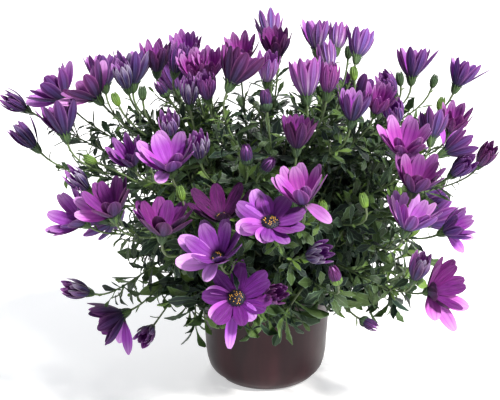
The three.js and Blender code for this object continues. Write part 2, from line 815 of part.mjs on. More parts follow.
/** An arched blade from its right-hand outline, which runs from a buried point at the root to the tip. */
function bladeGeometry({ outline, length, breadth, thickness }, size, droop) {
  const right = outline.map(([x, y, pointed]) => ({ x: x * breadth * size, y: y * length * size, pointed }));
  const left = right.slice(1, -1).reverse().map((corner) => ({ ...corner, x: -corner.x }));
  const contour = [...right, ...left];
  const radius = (length * size) / droop;
  const points = [];
  const put = ({ x, y }, z) => {
    const bend = y / radius;
    const drop = z - (x * x) / (3 * radius);
    const reach = radius + drop;
    points.push(new THREE.Vector3(x, reach * Math.sin(bend), reach * Math.cos(bend) - radius));
    return points.length - 1;
  };
  const upper = contour.map((corner) => put(corner, corner.pointed ? 0 : thickness / 2));
  const lower = contour.map((corner, i) => (corner.pointed ? upper[i] : put(corner, -thickness / 2)));
  const triangles = [];
  const flat = contour.map(({ x, y }) => new THREE.Vector2(x, y));
  for (const [a, b, c] of THREE.ShapeUtils.triangulateShape(flat, []))
    triangles.push([upper[a], upper[b], upper[c]], [lower[a], lower[c], lower[b]]);
  contour.forEach((corner, i) => {
    const next = (i + 1) % contour.length;
    if (!corner.pointed) triangles.push([upper[i], lower[i], lower[next]]);
    if (!contour[next].pointed) triangles.push([upper[i], lower[next], upper[next]]);
  });
  return geometryOf(points, triangles);
}

/** A blade rooted at a point, growing along a direction with its face towards `face`. */
function blade(kind, root, direction, face, size, droop) {
  const side = direction.clone().cross(face).normalize();
  const normal = side.clone().cross(direction);
  const frame = new THREE.Matrix4().makeBasis(side, direction, normal);
  frame.setPosition(root.clone().addScaledVector(direction, -LEAF_SUNK));
  return solidOf(bladeGeometry(BLADES[kind], size, droop).applyMatrix4(frame));
}

/** A leaf or a spray of three drawn for a place on a core: hanging low down, standing out above. */
function bladeAt(kind, { point, normal }, draw) {
  const { rise, hang, skirt, span, scatter, twist, least, level } = HABIT;
  const low = THREE.MathUtils.clamp((skirt - point.z) / span, 0, 1);
  const jitter = new THREE.Vector3(draw() - 0.5, draw() - 0.5, draw() - 0.5);
  const direction = normal.clone()
    .addScaledVector(UP, rise - (rise + hang) * low)
    .addScaledVector(jitter, scatter)
    .normalize();
  if (direction.dot(normal) < least) direction.addScaledVector(normal, 2 * least).normalize();
  const face = UP.clone().addScaledVector(normal, level + hang * low).addScaledVector(jitter, twist);
  const size = between(HABIT.sizes, draw);
  return blade(kind, point, direction, face, size, between(HABIT.droops, draw));
}

// ---------------------------------------------------------------- the whole plant

function plant(potSolid, soilSolid) {
  const blooms = [];
  for (const bloom of [...frontBlooms(), ...backBlooms()]) {
    const near = blooms.filter((other) => other.foot.distanceTo(bloom.foot) < NEIGHBOURHOOD);
    blooms.push({ ...bloom, solid: corolla(bloom, near) });
  }
  const groups = bloomGroups(blooms);
  const flowers = groups.map(({ solid }) => solid);
  const cores = Array.from({ length: SECTORS }, (_, sector) => core(sector));
  const stems = cores.map(({ solid }, sector) => [solid, mainStem(sector)]);
  const fixed = [potSolid, soilSolid, ...flowers];
  const everythingBut = (sector) => [...fixed, ...stems.filter((_, i) => i !== sector).flat()];

  for (const bloom of blooms) {
    const sector = sectorOf(bloom.foot);
    const places = placesOn(cores[sector].facets, STALK.starts, draws(SEEDS.stalks + bloom.number));
    stems[sector].push(clearStalk(places, bloom, calyxEnd(bloom.scale), everythingBut(sector)));
  }
  BUDS.forEach(([colour, footColumn, footRow, tipColumn, tipRow, deeper = 0], i) => {
    const { length } = BUD[colour];
    const ends = [[footColumn, footRow], [tipColumn, tipRow]];
    const bud = stance(...ends, length, BUD.least, deeper, false, BUD.depth);
    const sector = sectorOf(bud.foot);
    const places = placesOn(cores[sector].facets, STALK.starts, draws(SEEDS.buds + i));
    stems[sector].push(clearStalk(places, bud, budEnd(BUD[colour]), everythingBut(sector)));
  });
  const kinds = [...Array(LEAVES.sprays).fill("spray"), ...Array(LEAVES.leaves).fill("leaf")];
  const roots = [];
  kinds.forEach((kind, round) => {
    for (let sector = 0; sector < SECTORS; sector++) {
      const draw = draws(SEEDS.blades + round * SECTORS + sector);
      const others = [...everythingBut(sector), ...stems[sector].slice(1)];
      let best = null;
      for (const place of placesOn(cores[sector].facets, LEAVES.places, draw)) {
        const made = bladeAt(kind, place, draw);
        if (!isClear(made, others)) continue;
        const room = Math.min(...roots.map((root) => root.distanceTo(place.point)));
        if (!best || room > best.room) best = { made, root: place.point, room };
      }
      if (!best) throw new Error("no room for a " + kind + " on stem " + (sector + 1));
      roots.push(best.root);
      stems[sector].push(best.made);
    }
  });
  return [
    ...groups.map((group) => nodeOf(groupName(group), group.solid, COLOURS.corolla)),
    ...stems
      .map((pieces) => wasm.Manifold.union(pieces))
      .map((solid, i) => nodeOf("leafy_stem_" + (i + 1), solid, COLOURS.foliage)),
  ];
}

const osteospermum = new THREE.Group();
osteospermum.name = "osteospermum";
const potSolid = pot();
const soilSolid = soil();
osteospermum.add(nodeOf("pot", potSolid, COLOURS.pot));
osteospermum.add(nodeOf("soil", soilSolid, COLOURS.soil));
osteospermum.add(...plant(potSolid, soilSolid));

export default osteospermum;
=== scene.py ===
"""An osteospermum in its nursery pot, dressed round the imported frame.

Lengths are in millimetres until a mesh is made. A blade or a tube is a skin over rings of points; each
point carries `place` (across, along and side of its blade) and `tint` (three numbers) for the shaders.
"""

import functools
from math import atan2, cos, degrees, floor, pi, radians, sin, sqrt, tan

import bpy
import numpy as np
from numpy.linalg import norm
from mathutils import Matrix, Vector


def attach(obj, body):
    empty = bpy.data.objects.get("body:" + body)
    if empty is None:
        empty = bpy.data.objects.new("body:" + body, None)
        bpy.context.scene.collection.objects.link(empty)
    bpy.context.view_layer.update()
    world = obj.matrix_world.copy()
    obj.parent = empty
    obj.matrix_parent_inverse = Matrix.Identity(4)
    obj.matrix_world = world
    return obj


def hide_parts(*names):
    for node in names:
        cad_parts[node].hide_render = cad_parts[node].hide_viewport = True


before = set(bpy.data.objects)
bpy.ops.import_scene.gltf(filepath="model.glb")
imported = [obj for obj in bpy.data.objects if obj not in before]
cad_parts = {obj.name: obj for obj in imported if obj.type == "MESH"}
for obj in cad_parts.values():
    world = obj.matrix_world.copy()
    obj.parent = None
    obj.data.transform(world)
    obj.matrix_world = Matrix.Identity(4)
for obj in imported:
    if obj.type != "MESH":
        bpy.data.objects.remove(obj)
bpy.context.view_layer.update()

MM = 0.001
MASK = 0xFFFFFFFF
STRIDE = 0x6D2B79F5
UP = np.array([0.0, 0.0, 1.0])
GOLDEN = radians(137.5)
ROUND = 2 * pi
SHARP = 55  # degrees from which an edge is shown sharp

# ---- the frame's own sizes

EYE = np.array([0.0, -1000.0, 540.0])
AIM = np.array([-16.3, 0.0, 183.3])
PHOTO = {"width": 500, "height": 400, "focal": 1082.6}
SEEN_RIGHT = np.array([1.0, 0.0, 0.0])
SEEN_UP = np.array([0.0, 0.34, 0.94])
DOME_CENTRE = np.array([-6.0, 0.0, 188.0])
DOME_RADII = np.array([232.0, 178.0, 178.0])
LOOKS_UP = 0.5

CALYX = {"length": 8.0, "gap": 0.4, "bracts": 12}
ROOT_RADIUS = 4.2
STALK = {
    "radius": 0.85, "sunk": 4, "starts": 150, "points": 14, "bare": 22, "ends": 4, "every": 4.6,
    "bare every": 15, "thickens": 34, "leaf": 9, "leaf gain": 17,
}
STEM = {"radius": 2.7, "ring": 25, "sunk": 20, "neck": 6, "reach": 22, "top": 134}
SOIL_TOP = 88
NECK = SOIL_TOP + STEM["neck"]
SECTORS = 6
CORE_PROFILE = [(15, 122), (62, 112), (94, 128), (103, 168), (92, 212), (60, 245), (15, 258)]
CORE = {"stretch": 1.12, "gap": 1, "rough": 13, "columns": 4}
SEEDS = {
    "soil": 99, "cores": 100, "stalks": 300, "buds": 500, "shoots": 2000, "petals": 4000,
    "branches": 6000, "bud branches": 6500, "hanging": 8000,
}

# Lean at a petal's foot and tip in degrees, length, breadth, petals in each of two layers; the least
# size of a bloom as a share of the full one, the curl of the very tip in degrees, how far a petal wraps
# round, how keen its tip is, and the eye's radius.
FORM = ("foot", "tip", "length", "breadth", "layers", "least", "curl", "wrap", "keen", "eye")
FORMS = {
    "closed": dict(zip(FORM, (28, -14, 33, 8.4, (8, 7), 0.82, 8, 1.25, 1, 0))),
    "cup": dict(zip(FORM, (38, 8, 34, 10.6, (8, 7), 0.82, 8, 1.1, 0.85, 4.6))),
    "wide": dict(zip(FORM, (56, 34, 34, 13.4, (8, 6), 0.95, 6, 0.7, 0.34, 6.2))),
    "open": dict(zip(FORM, (80, 66, 28, 14, (8, 7), 1, 4, 0.35, 0.2, 7.6))),
}
# The blooms in view, by form: number, foot and mouth as column and row in the photo, and how much deeper
# the mouth lies.
BLOOMS = {
    "closed": [
        (1, 31, 112, 5, 97, 0), (2, 41, 153, 15, 126, 0), (7, 125, 98, 116, 68, -14),
        (10, 172, 78, 178, 46, 2), (14, 209, 104, 204, 76, 0), (17, 187, 110, 185, 82, 0),
        (20, 266, 88, 269, 56, 0), (24, 335, 57, 339, 26, 0), (25, 330, 76, 325, 47, 24),
        (26, 326, 101, 330, 64, 0), (29, 397, 101, 383, 76, 22), (34, 399, 128, 394, 105, 12),
        (39, 476, 169, 491, 148, 0), (40, 450, 184, 471, 167, -10), (44, 412, 285, 423, 257, 10),
        (48, 172, 138, 168, 117, 30), (49, 209, 159, 206, 133, 0), (51, 92, 186, 71, 165, 8),
        (61, 270, 298, 282, 292, 6), (62, 303, 257, 326, 252, 0), (64, 94, 294, 67, 287, 0),
        (66, 153, 326, 143, 339, 40),
    ],
    "cup": [
        (4, 64, 147, 53, 106, -10), (6, 106, 94, 101, 55, 20), (8, 133, 93, 133, 51, 0),
        (9, 157, 79, 156, 46, 9), (11, 188, 68, 187, 39, 20), (12, 196, 86, 193, 57, 6),
        (13, 210, 84, 209, 55, 14), (16, 241, 68, 241, 41, 25), (18, 271, 47, 268, 19, 25),
        (19, 277, 66, 275, 33, -4), (22, 303, 107, 300, 60, 0), (23, 312, 57, 311, 22, 0),
        (27, 357, 65, 363, 35, 0), (30, 411, 86, 413, 48, 0), (31, 453, 94, 467, 62, 0),
        (32, 350, 129, 356, 93, 0), (33, 373, 118, 383, 92, -6), (36, 430, 147, 434, 116, 14),
        (37, 447, 138, 459, 110, 4), (38, 437, 157, 468, 139, -14), (43, 437, 235, 467, 222, 0),
        (46, 296, 157, 299, 120, 0), (50, 135, 171, 124, 146, 8), (65, 131, 310, 94, 328, 0),
    ],
    "wide": [
        (3, 70, 106, 47, 80, 0), (5, 106, 108, 80, 79, 0), (15, 223, 96, 240, 58, -14),
        (35, 402, 163, 406, 133, -10), (41, 411, 198, 420, 169, -26), (42, 403, 238, 415, 206, -10),
        (45, 423, 293, 451, 287, -14), (47, 172, 178, 166, 147, -12), (52, 90, 227, 64, 210, 0),
        (53, 116, 223, 104, 194, -6), (54, 162, 244, 163, 210, -6), (55, 223, 226, 220, 196, 20),
        (56, 221, 265, 211, 240, -14), (58, 304, 211, 300, 180, -6),
    ],
    "open": [
        (57, 267, 233, 268, 219.5, -8), (60, 237, 301, 236, 296, 6),
    ],
}
# Blooms that lean away from the eye.
FACING_AWAY = {18, 24, 25, 27, 36, 38}
# How grey and striped the outsides of a bloom are and how deep their painted shadow, or how pale where it is
# below 0.
DUSKY = {
    1: 0.6, 2: 0.6, 4: 0.45, 6: 0.5, 7: 1, 8: 0.7, 9: 0.5, 10: 0.6, 11: 0.6, 14: 0.4, 15: 0.5, 17: 1,
    18: -0.5, 19: 0.5, 20: -0.9, 22: -0.4, 23: -0.5, 24: -0.6, 25: -0.5, 26: -0.15, 27: -0.25, 29: 0.3,
    30: 0.2, 31: 0.3, 32: 0.6, 34: -0.35, 36: 0.5, 38: 0.3, 39: 0.4, 40: 0.5, 44: 0.8, 48: 1, 49: 1,
    50: 0.5, 51: 1, 54: 0.4, 61: 0.5, 62: 0.9, 64: 1, 66: 0.9,
}
# Blooms of a redder purple.
MAGENTA = {5, 9, 12, 13, 15, 16, 19, 22, 26, 33, 35, 37, 39, 41, 45, 46, 53, 54, 55, 58, 61}
# Breadth of a bloom's petals as a share of its form's: young ones have narrow petals.
BREADTHS = {
    1: 0.72, 10: 0.72, 17: 0.72, 35: 1.2, 41: 1.2, 44: 1.1, 47: 1.22, 48: 0.72, 49: 0.72, 51: 0.72,
    54: 1.12, 56: 1.12, 58: 1.18, 65: 1.3, 66: 1.2,
}
# Degrees by which the petals of a bloom stand closer together than its form's.
FURLED = {
    3: 4, 5: 4, 15: 17, 18: 5, 20: -3, 22: 6, 23: 2, 27: 5, 33: 5, 35: 12, 36: 3, 41: 15, 42: 7, 47: 5,
    52: 5, 53: 7, 54: 3, 58: 12, 65: -10,
}
# How much darker a bloom is than the others: partly its own deeper colour, partly painted shade where it lies
# in shadow; below 0 it is painted light.
TONE_AND_PAINTED_SHADE = {
    1: 0.5, 2: 0.4, 3: -0.2, 4: 0.5, 5: 0.5, 9: 0.4, 15: 0.7, 16: 0.3, 19: 0.8, 20: -0.2, 23: -0.2,
    32: 0.4, 33: 0.1, 35: -0.5, 36: 0.3, 37: 0.2, 39: 0.2, 40: 0.1, 41: 0.4, 42: -0.5, 43: 0.1, 45: 1.4,
    46: 1.0, 48: -1.2, 50: 0.5, 53: 0.8, 54: 0.9, 55: 1.5, 56: 0.5, 57: 0.4, 60: 1.15, 61: 0.3, 62: 0.2,
    65: 0.9,
}
# Petals out of line, by bloom: where each points in the photo, degrees from the right, its two leans and
# its length as a share of the others'.
LOOSE = {
    2: [(0, 42, 14, 1.0)],
    3: [(221, 50, 51, 1.0), (41, 46, 51, 1.0)],
    5: [(222, 52, 52, 1.0), (42, 44, 51, 1.0)],
    30: [(15, 42, 34, 1.05)],
    31: [(30, 36, 38, 1.12)],
    38: [(165, 58, 74, 0.9)],
    43: [(-55, 66, 84, 0.8), (-20, 62, 72, 1.0)],
    45: [(-60, 66, 72, 1.15), (-30, 62, 56, 1.1), (-95, 66, 70, 1.0)],
    47: [(-90, 76, 96, 0.55)],
    53: [(160, 58, 52, 1.0), (-170, 60, 52, 1.0)],
    56: [(-105, 80, 100, 0.7), (165, 60, 52, 1.1), (-160, 66, 54, 1.05)],
    57: [(180, 80, 68, 1.0), (-145, 80, 70, 1.0), (150, 80, 64, 1.0), (-100, 82, 72, 0.9)],
    58: [(-42, 88, 112, 1.0)],
    60: [(-82, 90, 112, 1.3), (-120, 80, 68, 0.9), (-155, 80, 66, 0.9), (-45, 80, 70, 0.85)],
    65: [(-64, 74, 66, 1.05), (-100, 64, 60, 1.05)],
}
# Blooms that lean into a neighbour: number, neighbour, and how far the bloom is moved against it.
LEANING = [
    (4, 5, 4.6), (7, 8, 7.4), (11, 9, 1.9), (10, 12, 2), (17, 14, 3), (15, 20, 2.5), (22, 26, 4),
    (27, 24, 1.6), (23, 24, 4.2), (34, 33, 2.6), (40, 38, 6), (49, 47, 8), (51, 52, 6.5), (55, 56, 1.2),
    (57, 58, 3.2), (61, 60, 2.9),
]

# Sprays of three blooms over the back of the dome: bearing from +X and height on it, degrees.
BACK_SPRAYS = [(30, -14), (46, 6), (80, -8), (112, 2), (146, -14), (64, 28), (122, 38)]
SPRAY = {
    "first": 71, "forms": ("cup", "wide", "closed"), "splay": 16, "spin": 47, "lift": 0.55, "shrink": 0.97,
}
SPRAY_REACH = {"cup": 19.4, "wide": 26, "closed": 10.6}

# Colour, foot and tip as column and row in the photo, and how much deeper the tip lies.
BUDS = [
    ("green", 119, 106, 113, 93, 0), ("green", 143, 103, 142, 86, 0), ("green", 98, 163, 83, 157, 0),
    ("green", 183, 203, 179, 186, 0), ("green", 348, 59, 349, 47, 30), ("green", 355, 84, 353, 66, 0),
    ("green", 401, 88, 399, 72, 0), ("green", 430, 93, 436, 75, 0), ("green", 438, 112, 443, 97, 0),
    ("green", 366, 208, 362, 193, 0), ("green", 324, 213, 322, 202, 0), ("green", 397, 201, 398, 187, 20),
    ("purple", 267, 112, 265, 92, 0), ("purple", 338, 285, 333, 269, 0), ("purple", 360, 319, 375, 327, 0),
    ("purple", 262, 172, 271, 161, 0), ("purple", 247, 165, 246, 148, 0), ("purple", 168, 97, 158, 83, 0),
]
# By place in BUDS: those of a darker green, and the one whose petals are pinker.
DARK_BUDS = {1, 4, 6, 7, 12, 14, 15, 16, 17}
PINK_BUD = 13
BUD = {"green": (3.6, 13), "purple": (5, 19)}  # radius and length
BUD_BRACTS, BUD_PETALS = 14, 9
BUD_STALK = {"points": 12, "bare": 12}
BUD_DEPTH = 14
LEAST_BUD = 0.9


# ---- helpers


def draws(seed):
    """A seeded draw, 0 to 1 at each call."""
    state = seed & MASK

    def draw():
        nonlocal state
        state = (state + STRIDE) & MASK
        t = ((state ^ (state >> 15)) * (state | 1)) & MASK
        t ^= (t + (((t ^ (t >> 7)) * (t | 61)) & MASK)) & MASK
        return (t ^ (t >> 14)) / (MASK + 1)

    return draw


def spread(draw, reach):
    """A draw between -reach and reach."""
    return reach * (2 * draw() - 1)


def scattered(draw, reach, count=3):
    """A vector whose first `count` numbers are spread and the others 0."""
    return np.array([spread(draw, reach) for _ in range(count)] + [0.0] * (3 - count))


def clipped(value):
    return min(1, max(0, value))


def unit(v):
    return v / norm(v)


def flat(point):
    """The level direction from the pot's axis to a point."""
    return unit(np.array([point[0], point[1], 0.0]))


def across_of(axis):
    """Two unit vectors square to an axis, which make a right-handed set with it."""
    first = unit(np.cross(axis, UP if abs(axis[2]) < 0.9 else np.array([1.0, 0, 0])))
    return first, np.cross(axis, first)


def toward(pair, turn):
    """The direction at a turn between two vectors that are square to each other."""
    first, second = pair
    return first * cos(turn) + second * sin(turn)


def turns_of(count):
    return np.linspace(0, ROUND, count, endpoint=False)


def run_of(steps, size=1):
    """How far a line of points has come at each, from its steps."""
    return np.concatenate([[0], np.cumsum(steps) * size])


def steps_of(path):
    return norm(np.diff(path, axis=0), axis=1)


def bezier(a, b, c, d, count):
    t = np.linspace(0, 1, count)[:, None]
    return a * (1 - t) ** 3 + 3 * b * t * (1 - t) ** 2 + 3 * c * t**2 * (1 - t) + d * t**3


@functools.cache
def skin_faces(rings, sides):
    """Faces of a skin over rings, as quads and triangles, its two ends closed by strips."""
    quads, tris = [], []
    for r in range(rings - 1):
        for i in range(sides):
            a, b = r * sides + i, r * sides + (i + 1) % sides
            quads.append((a, b, b + sides, a + sides))
    half = sides // 2
    for base, flip in ((0, True), ((rings - 1) * sides, False)):
        ends = [(0, 1, sides - 1), (half - 1, half, half + 1)]
        mids = [(i, i + 1, sides - i - 1, sides - i) for i in range(1, half - 1)]
        for face, store in [(f, tris) for f in ends] + [(f, quads) for f in mids]:
            face = [base + i for i in face]
            store.append(tuple(face[::-1] if flip else face))
    return np.array(quads, np.int32), np.array(tris, np.int32)


def placed(name, data, place=(0, 0, 0)):
    """A new object at a place in metres."""
    made = bpy.data.objects.new(name, data)
    bpy.context.scene.collection.objects.link(made)
    made.location = place
    return made


def fill(items, key, values, kind=np.int32):
    """Sets one value of each item of a mesh."""
    items.foreach_set(key, values.astype(kind).ravel())


class Sheets:
    """Skins gathered for one object."""

    def __init__(self):
        self.points, self.places, self.tints, self.count = [], [], [], 0
        self.faces, self.kinds = ([], []), ([], [])

    def skin(self, rings, places=None, tint=(0, 0, 0), kind=0):
        """A closed skin over an even number of points a ring; its kind is the number of its material."""
        n, k = rings.shape[:2]
        self.points.append(rings.reshape(-1, 3))
        self.places.append(np.zeros((n * k, 3)) if places is None else places.reshape(-1, 3))
        self.tints.append(np.tile(tint, (n * k, 1)))
        for made, faces, kinds in zip(skin_faces(n, k), self.faces, self.kinds):
            faces.append(made + self.count)
            kinds.append(np.full(len(made), kind))
        self.count += n * k

    def piece(self, name, materials, slot, *nodes):
        """The gathered skins as one object in metres, which takes the place of CAD nodes on the root body."""
        faces = [np.concatenate(each) for each in self.faces]
        sizes = np.concatenate([np.full(len(each), each.shape[1]) for each in faces])
        corners = np.concatenate([each.ravel() for each in faces])
        mesh = bpy.data.meshes.new(name)
        mesh.vertices.add(self.count)
        mesh.loops.add(len(corners))
        mesh.polygons.add(len(sizes))
        fill(mesh.vertices, "co", np.concatenate(self.points) * MM, np.float32)
        fill(mesh.loops, "vertex_index", corners)
        fill(mesh.polygons, "loop_start", np.cumsum(sizes) - sizes)
        fill(mesh.polygons, "material_index", np.concatenate(sum(self.kinds, [])))
        for material in materials:
            mesh.materials.append(material)
        mesh.update(calc_edges=True)
        for key, values in (("place", self.places), ("tint", self.tints)):
            layer = mesh.attributes.new(key, "FLOAT_VECTOR", "POINT")
            fill(layer.data, "vector", np.concatenate(values), np.float32)
        fill(mesh.polygons, "use_smooth", np.ones(len(sizes)), bool)
        mesh.set_sharp_from_angle(angle=radians(SHARP))
        obj = placed(name, mesh)
        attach(obj, "root")
        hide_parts(*nodes)


# ---- blades and tubes


def places_of(rows, columns):
    """The places of a blade's ring points: across, along, and 1 on its face, 0.5 at its edge, 0 behind."""
    m = len(columns)
    side = np.full(2 * m - 2, 0.5)
    side[1 : m - 1] = 1
    side[m:] = 0
    grid = np.empty((len(rows), 2 * m - 2, 3))
    grid[..., 0] = np.concatenate([columns, columns[-2:0:-1]])
    grid[..., 1] = rows[:, None]
    grid[..., 2] = side
    return grid


def blade_shape(rows, outline):
    """A blade's rows from foot to tip, its half breadth at each, and the places of its ring points."""
    rows = np.array(rows)
    return rows, np.array(outline), places_of(rows, BLADE_COLUMNS)


PETAL_ROWS = np.array([0, 0.16, 0.32, 0.48, 0.62, 0.75, 0.86, 0.94, 0.985])
PETAL_COLUMNS = np.array([-1, -0.68, -0.36, 0, 0.36, 0.68, 1])
PETAL_GROOVE = np.array([0, 0.28, -0.55, 0.3, -0.55, 0.28, 0])
PETAL_PLACES = places_of(PETAL_ROWS, PETAL_COLUMNS)
PETAL = {
    "widest": 0.6, "thickness": 0.5, "curled": 0.7, "tilted": 0.5, "steps": 40,
    "layer leans": (2.5, -3.5), "layer lengths": (1.0, 0.95), "layer inset": 0.9, "tilt": 9,
}
BLADE_COLUMNS = np.array([-1.0, 0.0, 1.0])
LEAF_ROWS = (0, 0.22, 0.42, 0.54, 0.6, 0.74, 0.8, 0.99)
TOOTHED = blade_shape(LEAF_ROWS, (0.2, 0.22, 0.5, 0.84, 0.7, 1.0, 0.76, 0.08))
SPOON = blade_shape(LEAF_ROWS, (0.2, 0.2, 0.42, 0.72, 0.82, 1.0, 0.97, 0.3))
LEAFLET = blade_shape(LEAF_ROWS, (0.3, 0.55, 0.86, 0.97, 1.0, 0.9, 0.78, 0.1))
BRACT = blade_shape((0, 0.25, 0.5, 0.75, 0.98), (0.75, 1.0, 0.85, 0.5, 0.06))
LEAF = {"thickness": 0.9, "steps": 16, "bend": 1.2}


def petal_outline(keen):
    """Half breadth along a petal: narrow at its foot, widest past its middle, its tip round to keen."""
    grown = np.clip(PETAL_ROWS / PETAL["widest"], 0, 1)
    rise = 0.5 - 0.14 * keen + (0.5 + 0.14 * keen) * np.sin(grown * pi / 2) ** 1.2
    past = np.clip((PETAL_ROWS - PETAL["widest"]) / 0.405, 0, 1)
    return rise * np.clip(1 - past**2, 0, 1) ** (0.45 + 0.4 * keen)


def blade_rings(centre, side, normal, half, columns, lift, thickness):
    """Rings of a blade: its face from edge to edge, then its back, lifted along the normal."""
    side, normal = (np.broadcast_to(each, centre.shape)[:, None] for each in (side, normal))
    up = lift + thickness / 2 * (1 - columns**2)
    down = lift - thickness / 2 * (1 - columns**2)
    level = centre[:, None] + side * (columns[None] * half[:, None])[..., None]
    back = level + normal * down[..., None]
    return np.concatenate([level + normal * up[..., None], back[:, -2:0:-1]], axis=1)


def petal(sheets, base, axis, outward, leans, length, breadth, scale, tint, tilt, wave, inset, wrap, keen):
    """A petal; its leans from the axis are those of its foot and tip, and a curl at the very tip, degrees."""
    foot, tip, curl = leans
    fine = np.linspace(0, 1, PETAL["steps"] + 1)
    curled = np.clip((fine - PETAL["curled"]) / (1 - PETAL["curled"]), 0, 1) ** 2
    lean = np.radians(foot + (tip - foot) * fine + curl * curled)
    step = length / PETAL["steps"]
    middle = (lean[1:] + lean[:-1]) / 2
    radius = ROOT_RADIUS - inset + run_of(np.sin(middle), step)
    height = run_of(np.cos(middle), step)
    radius, height, lean = (np.interp(PETAL_ROWS, fine, each) for each in (radius, height, lean))
    side = np.cross(outward, axis)
    drift = (wave * np.sin(PETAL_ROWS * 2.4) * length)[:, None]
    centre = base + scale * (outward * radius[:, None] + axis * height[:, None] - side * drift)
    lean = lean[:, None]
    normal = outward * -np.cos(lean) + axis * np.sin(lean)
    turn = (tilt * np.sin(np.clip(PETAL_ROWS / PETAL["tilted"], 0, 1) * pi / 2))[:, None]
    side, normal = side * np.cos(turn) + normal * np.sin(turn), normal * np.cos(turn) - side * np.sin(turn)
    half = scale * breadth / 2 * petal_outline(keen)
    curve = wrap * half**2 / (2 * scale * (np.abs(radius) + 2.5))
    lift = curve[:, None] * PETAL_COLUMNS**2 + np.sin(PETAL_ROWS * 3)[:, None] * PETAL_GROOVE
    rings = blade_rings(centre, side, normal, half, PETAL_COLUMNS, lift, PETAL["thickness"])
    sheets.skin(rings, PETAL_PLACES, tint)


def folded(sheets, shape, centre, side, normal, widest, fold, thickness, tint, kind=0):
    """A blade with a shape's outline, its two halves folded up along its middle."""
    _, outline, places = shape
    half = widest * outline
    lift = fold * np.abs(BLADE_COLUMNS) * half[:, None]
    sheets.skin(blade_rings(centre, side, normal, half, BLADE_COLUMNS, lift, thickness), places, tint, kind)


def leaf(sheets, shape, root, along, face, length, breadth, droop, fold, tint):
    """A leaf that leaves `root` along a direction and bends away from its face."""
    rows = shape[0]
    side = unit(np.cross(along, face))
    normal = np.cross(side, along)
    fine = np.linspace(0, 1, LEAF["steps"] + 1)
    angle = droop * fine ** LEAF["bend"]
    middle = (angle[1:] + angle[:-1]) / 2
    run, drop = (
        np.interp(rows, fine, run_of(steps, 1 / LEAF["steps"]))[:, None]
        for steps in (np.cos(middle), np.sin(middle))
    )
    centre = root + length * (along * run - normal * drop)
    bend = (droop * rows ** LEAF["bend"])[:, None]
    normals = normal * np.cos(bend) + along * np.sin(bend)
    folded(sheets, shape, centre, side, normals, breadth / 2, fold, LEAF["thickness"], tint)


def tube(sheets, path, radii, sides, tint, kind):
    """A tube along points, with a radius at each."""
    along = np.gradient(path, axis=0)
    along /= norm(along, axis=1)[:, None]
    first = across_of(along[0])[0]
    turns = turns_of(sides)
    rings = np.empty((len(path), sides, 3))
    for i, (point, way, radius) in enumerate(zip(path, along, radii)):
        first = unit(first - way * np.dot(first, way))
        second = np.cross(way, first)
        rings[i] = point + radius * (np.cos(turns)[:, None] * first - np.sin(turns)[:, None] * second)
    places = np.ones_like(rings)
    places[..., 0] = turns / pi - 1
    places[..., 1] = np.linspace(0, 1, len(path))[:, None]
    sheets.skin(rings[:, ::-1], places[:, ::-1], tint, kind)


# ---- where the blooms stand


def sight(column, row):
    """The unit direction from the eye through a place in the photo."""
    forward = unit(AIM - EYE)
    right = unit(np.cross(forward, UP))
    upward = np.cross(right, forward)
    way = forward * PHOTO["focal"] + right * (column - PHOTO["width"] / 2)
    return unit(way + upward * (PHOTO["height"] / 2 - row))


def on_dome(direction, shrink):
    """Where a line of sight meets the dome of blooms, or passes nearest to it."""
    radii = DOME_RADII - shrink
    start, along = (EYE - DOME_CENTRE) / radii, direction / radii
    a, b, c = along @ along, start @ along, start @ start - 1
    return EYE + direction * ((-b - sqrt(max(0, b * b - a * c))) / a)


def dome_normal(point):
    return unit((point - DOME_CENTRE) / DOME_RADII**2)


def height_of(form):
    """From the calyx's foot to the petals' tips, along the axis."""
    shape = FORMS[form]
    foot, turn = radians(shape["foot"]), radians(shape["tip"] - shape["foot"])
    return CALYX["length"] + shape["length"] / turn * (sin(foot + turn) - sin(foot))


def stance(seen, length, least, deeper, away=False, shrink=0):
    """The foot of the calyx, the axis and the scale, from where foot and mouth are seen."""
    toward_foot, toward_mouth = sight(*seen[:2]), sight(*seen[2:])
    mouth = on_dome(toward_mouth, shrink) + toward_mouth * deeper
    reach = mouth - EYE
    along = reach @ toward_foot
    apart = sqrt(reach @ reach - along * along)
    scale = min(1, max(least, apart / length))
    depth = sqrt(max(0, (length * scale) ** 2 - apart * apart))
    outward = dome_normal(mouth) + LOOKS_UP * UP
    axes = [unit(mouth - EYE - toward_foot * distance) for distance in (along + depth, along - depth)]
    deep_first = axes[0] @ outward >= axes[1] @ outward
    axis = axes[0] if deep_first != away else axes[1]
    return {"foot": mouth - axis * length * scale, "axis": axis, "scale": scale}


def middle_of(bloom):
    return bloom["foot"] + bloom["axis"] * (height_of(bloom["form"]) * bloom["scale"] * 0.6)


def front_blooms():
    """The blooms in view, by number, some of them moved against a neighbour."""
    made = {}
    rows = sorted((row[0], form, *row[1:]) for form, blooms in BLOOMS.items() for row in blooms)
    for number, form, *seen, deeper in rows:
        set_up = stance(seen, height_of(form), FORMS[form]["least"], deeper, number in FACING_AWAY)
        made[number] = {"number": number, "form": form, **set_up}
    for number, neighbour, shift in LEANING:
        way = unit(middle_of(made[neighbour]) - middle_of(made[number]))
        made[number]["foot"] = made[number]["foot"] + way * shift
    return made


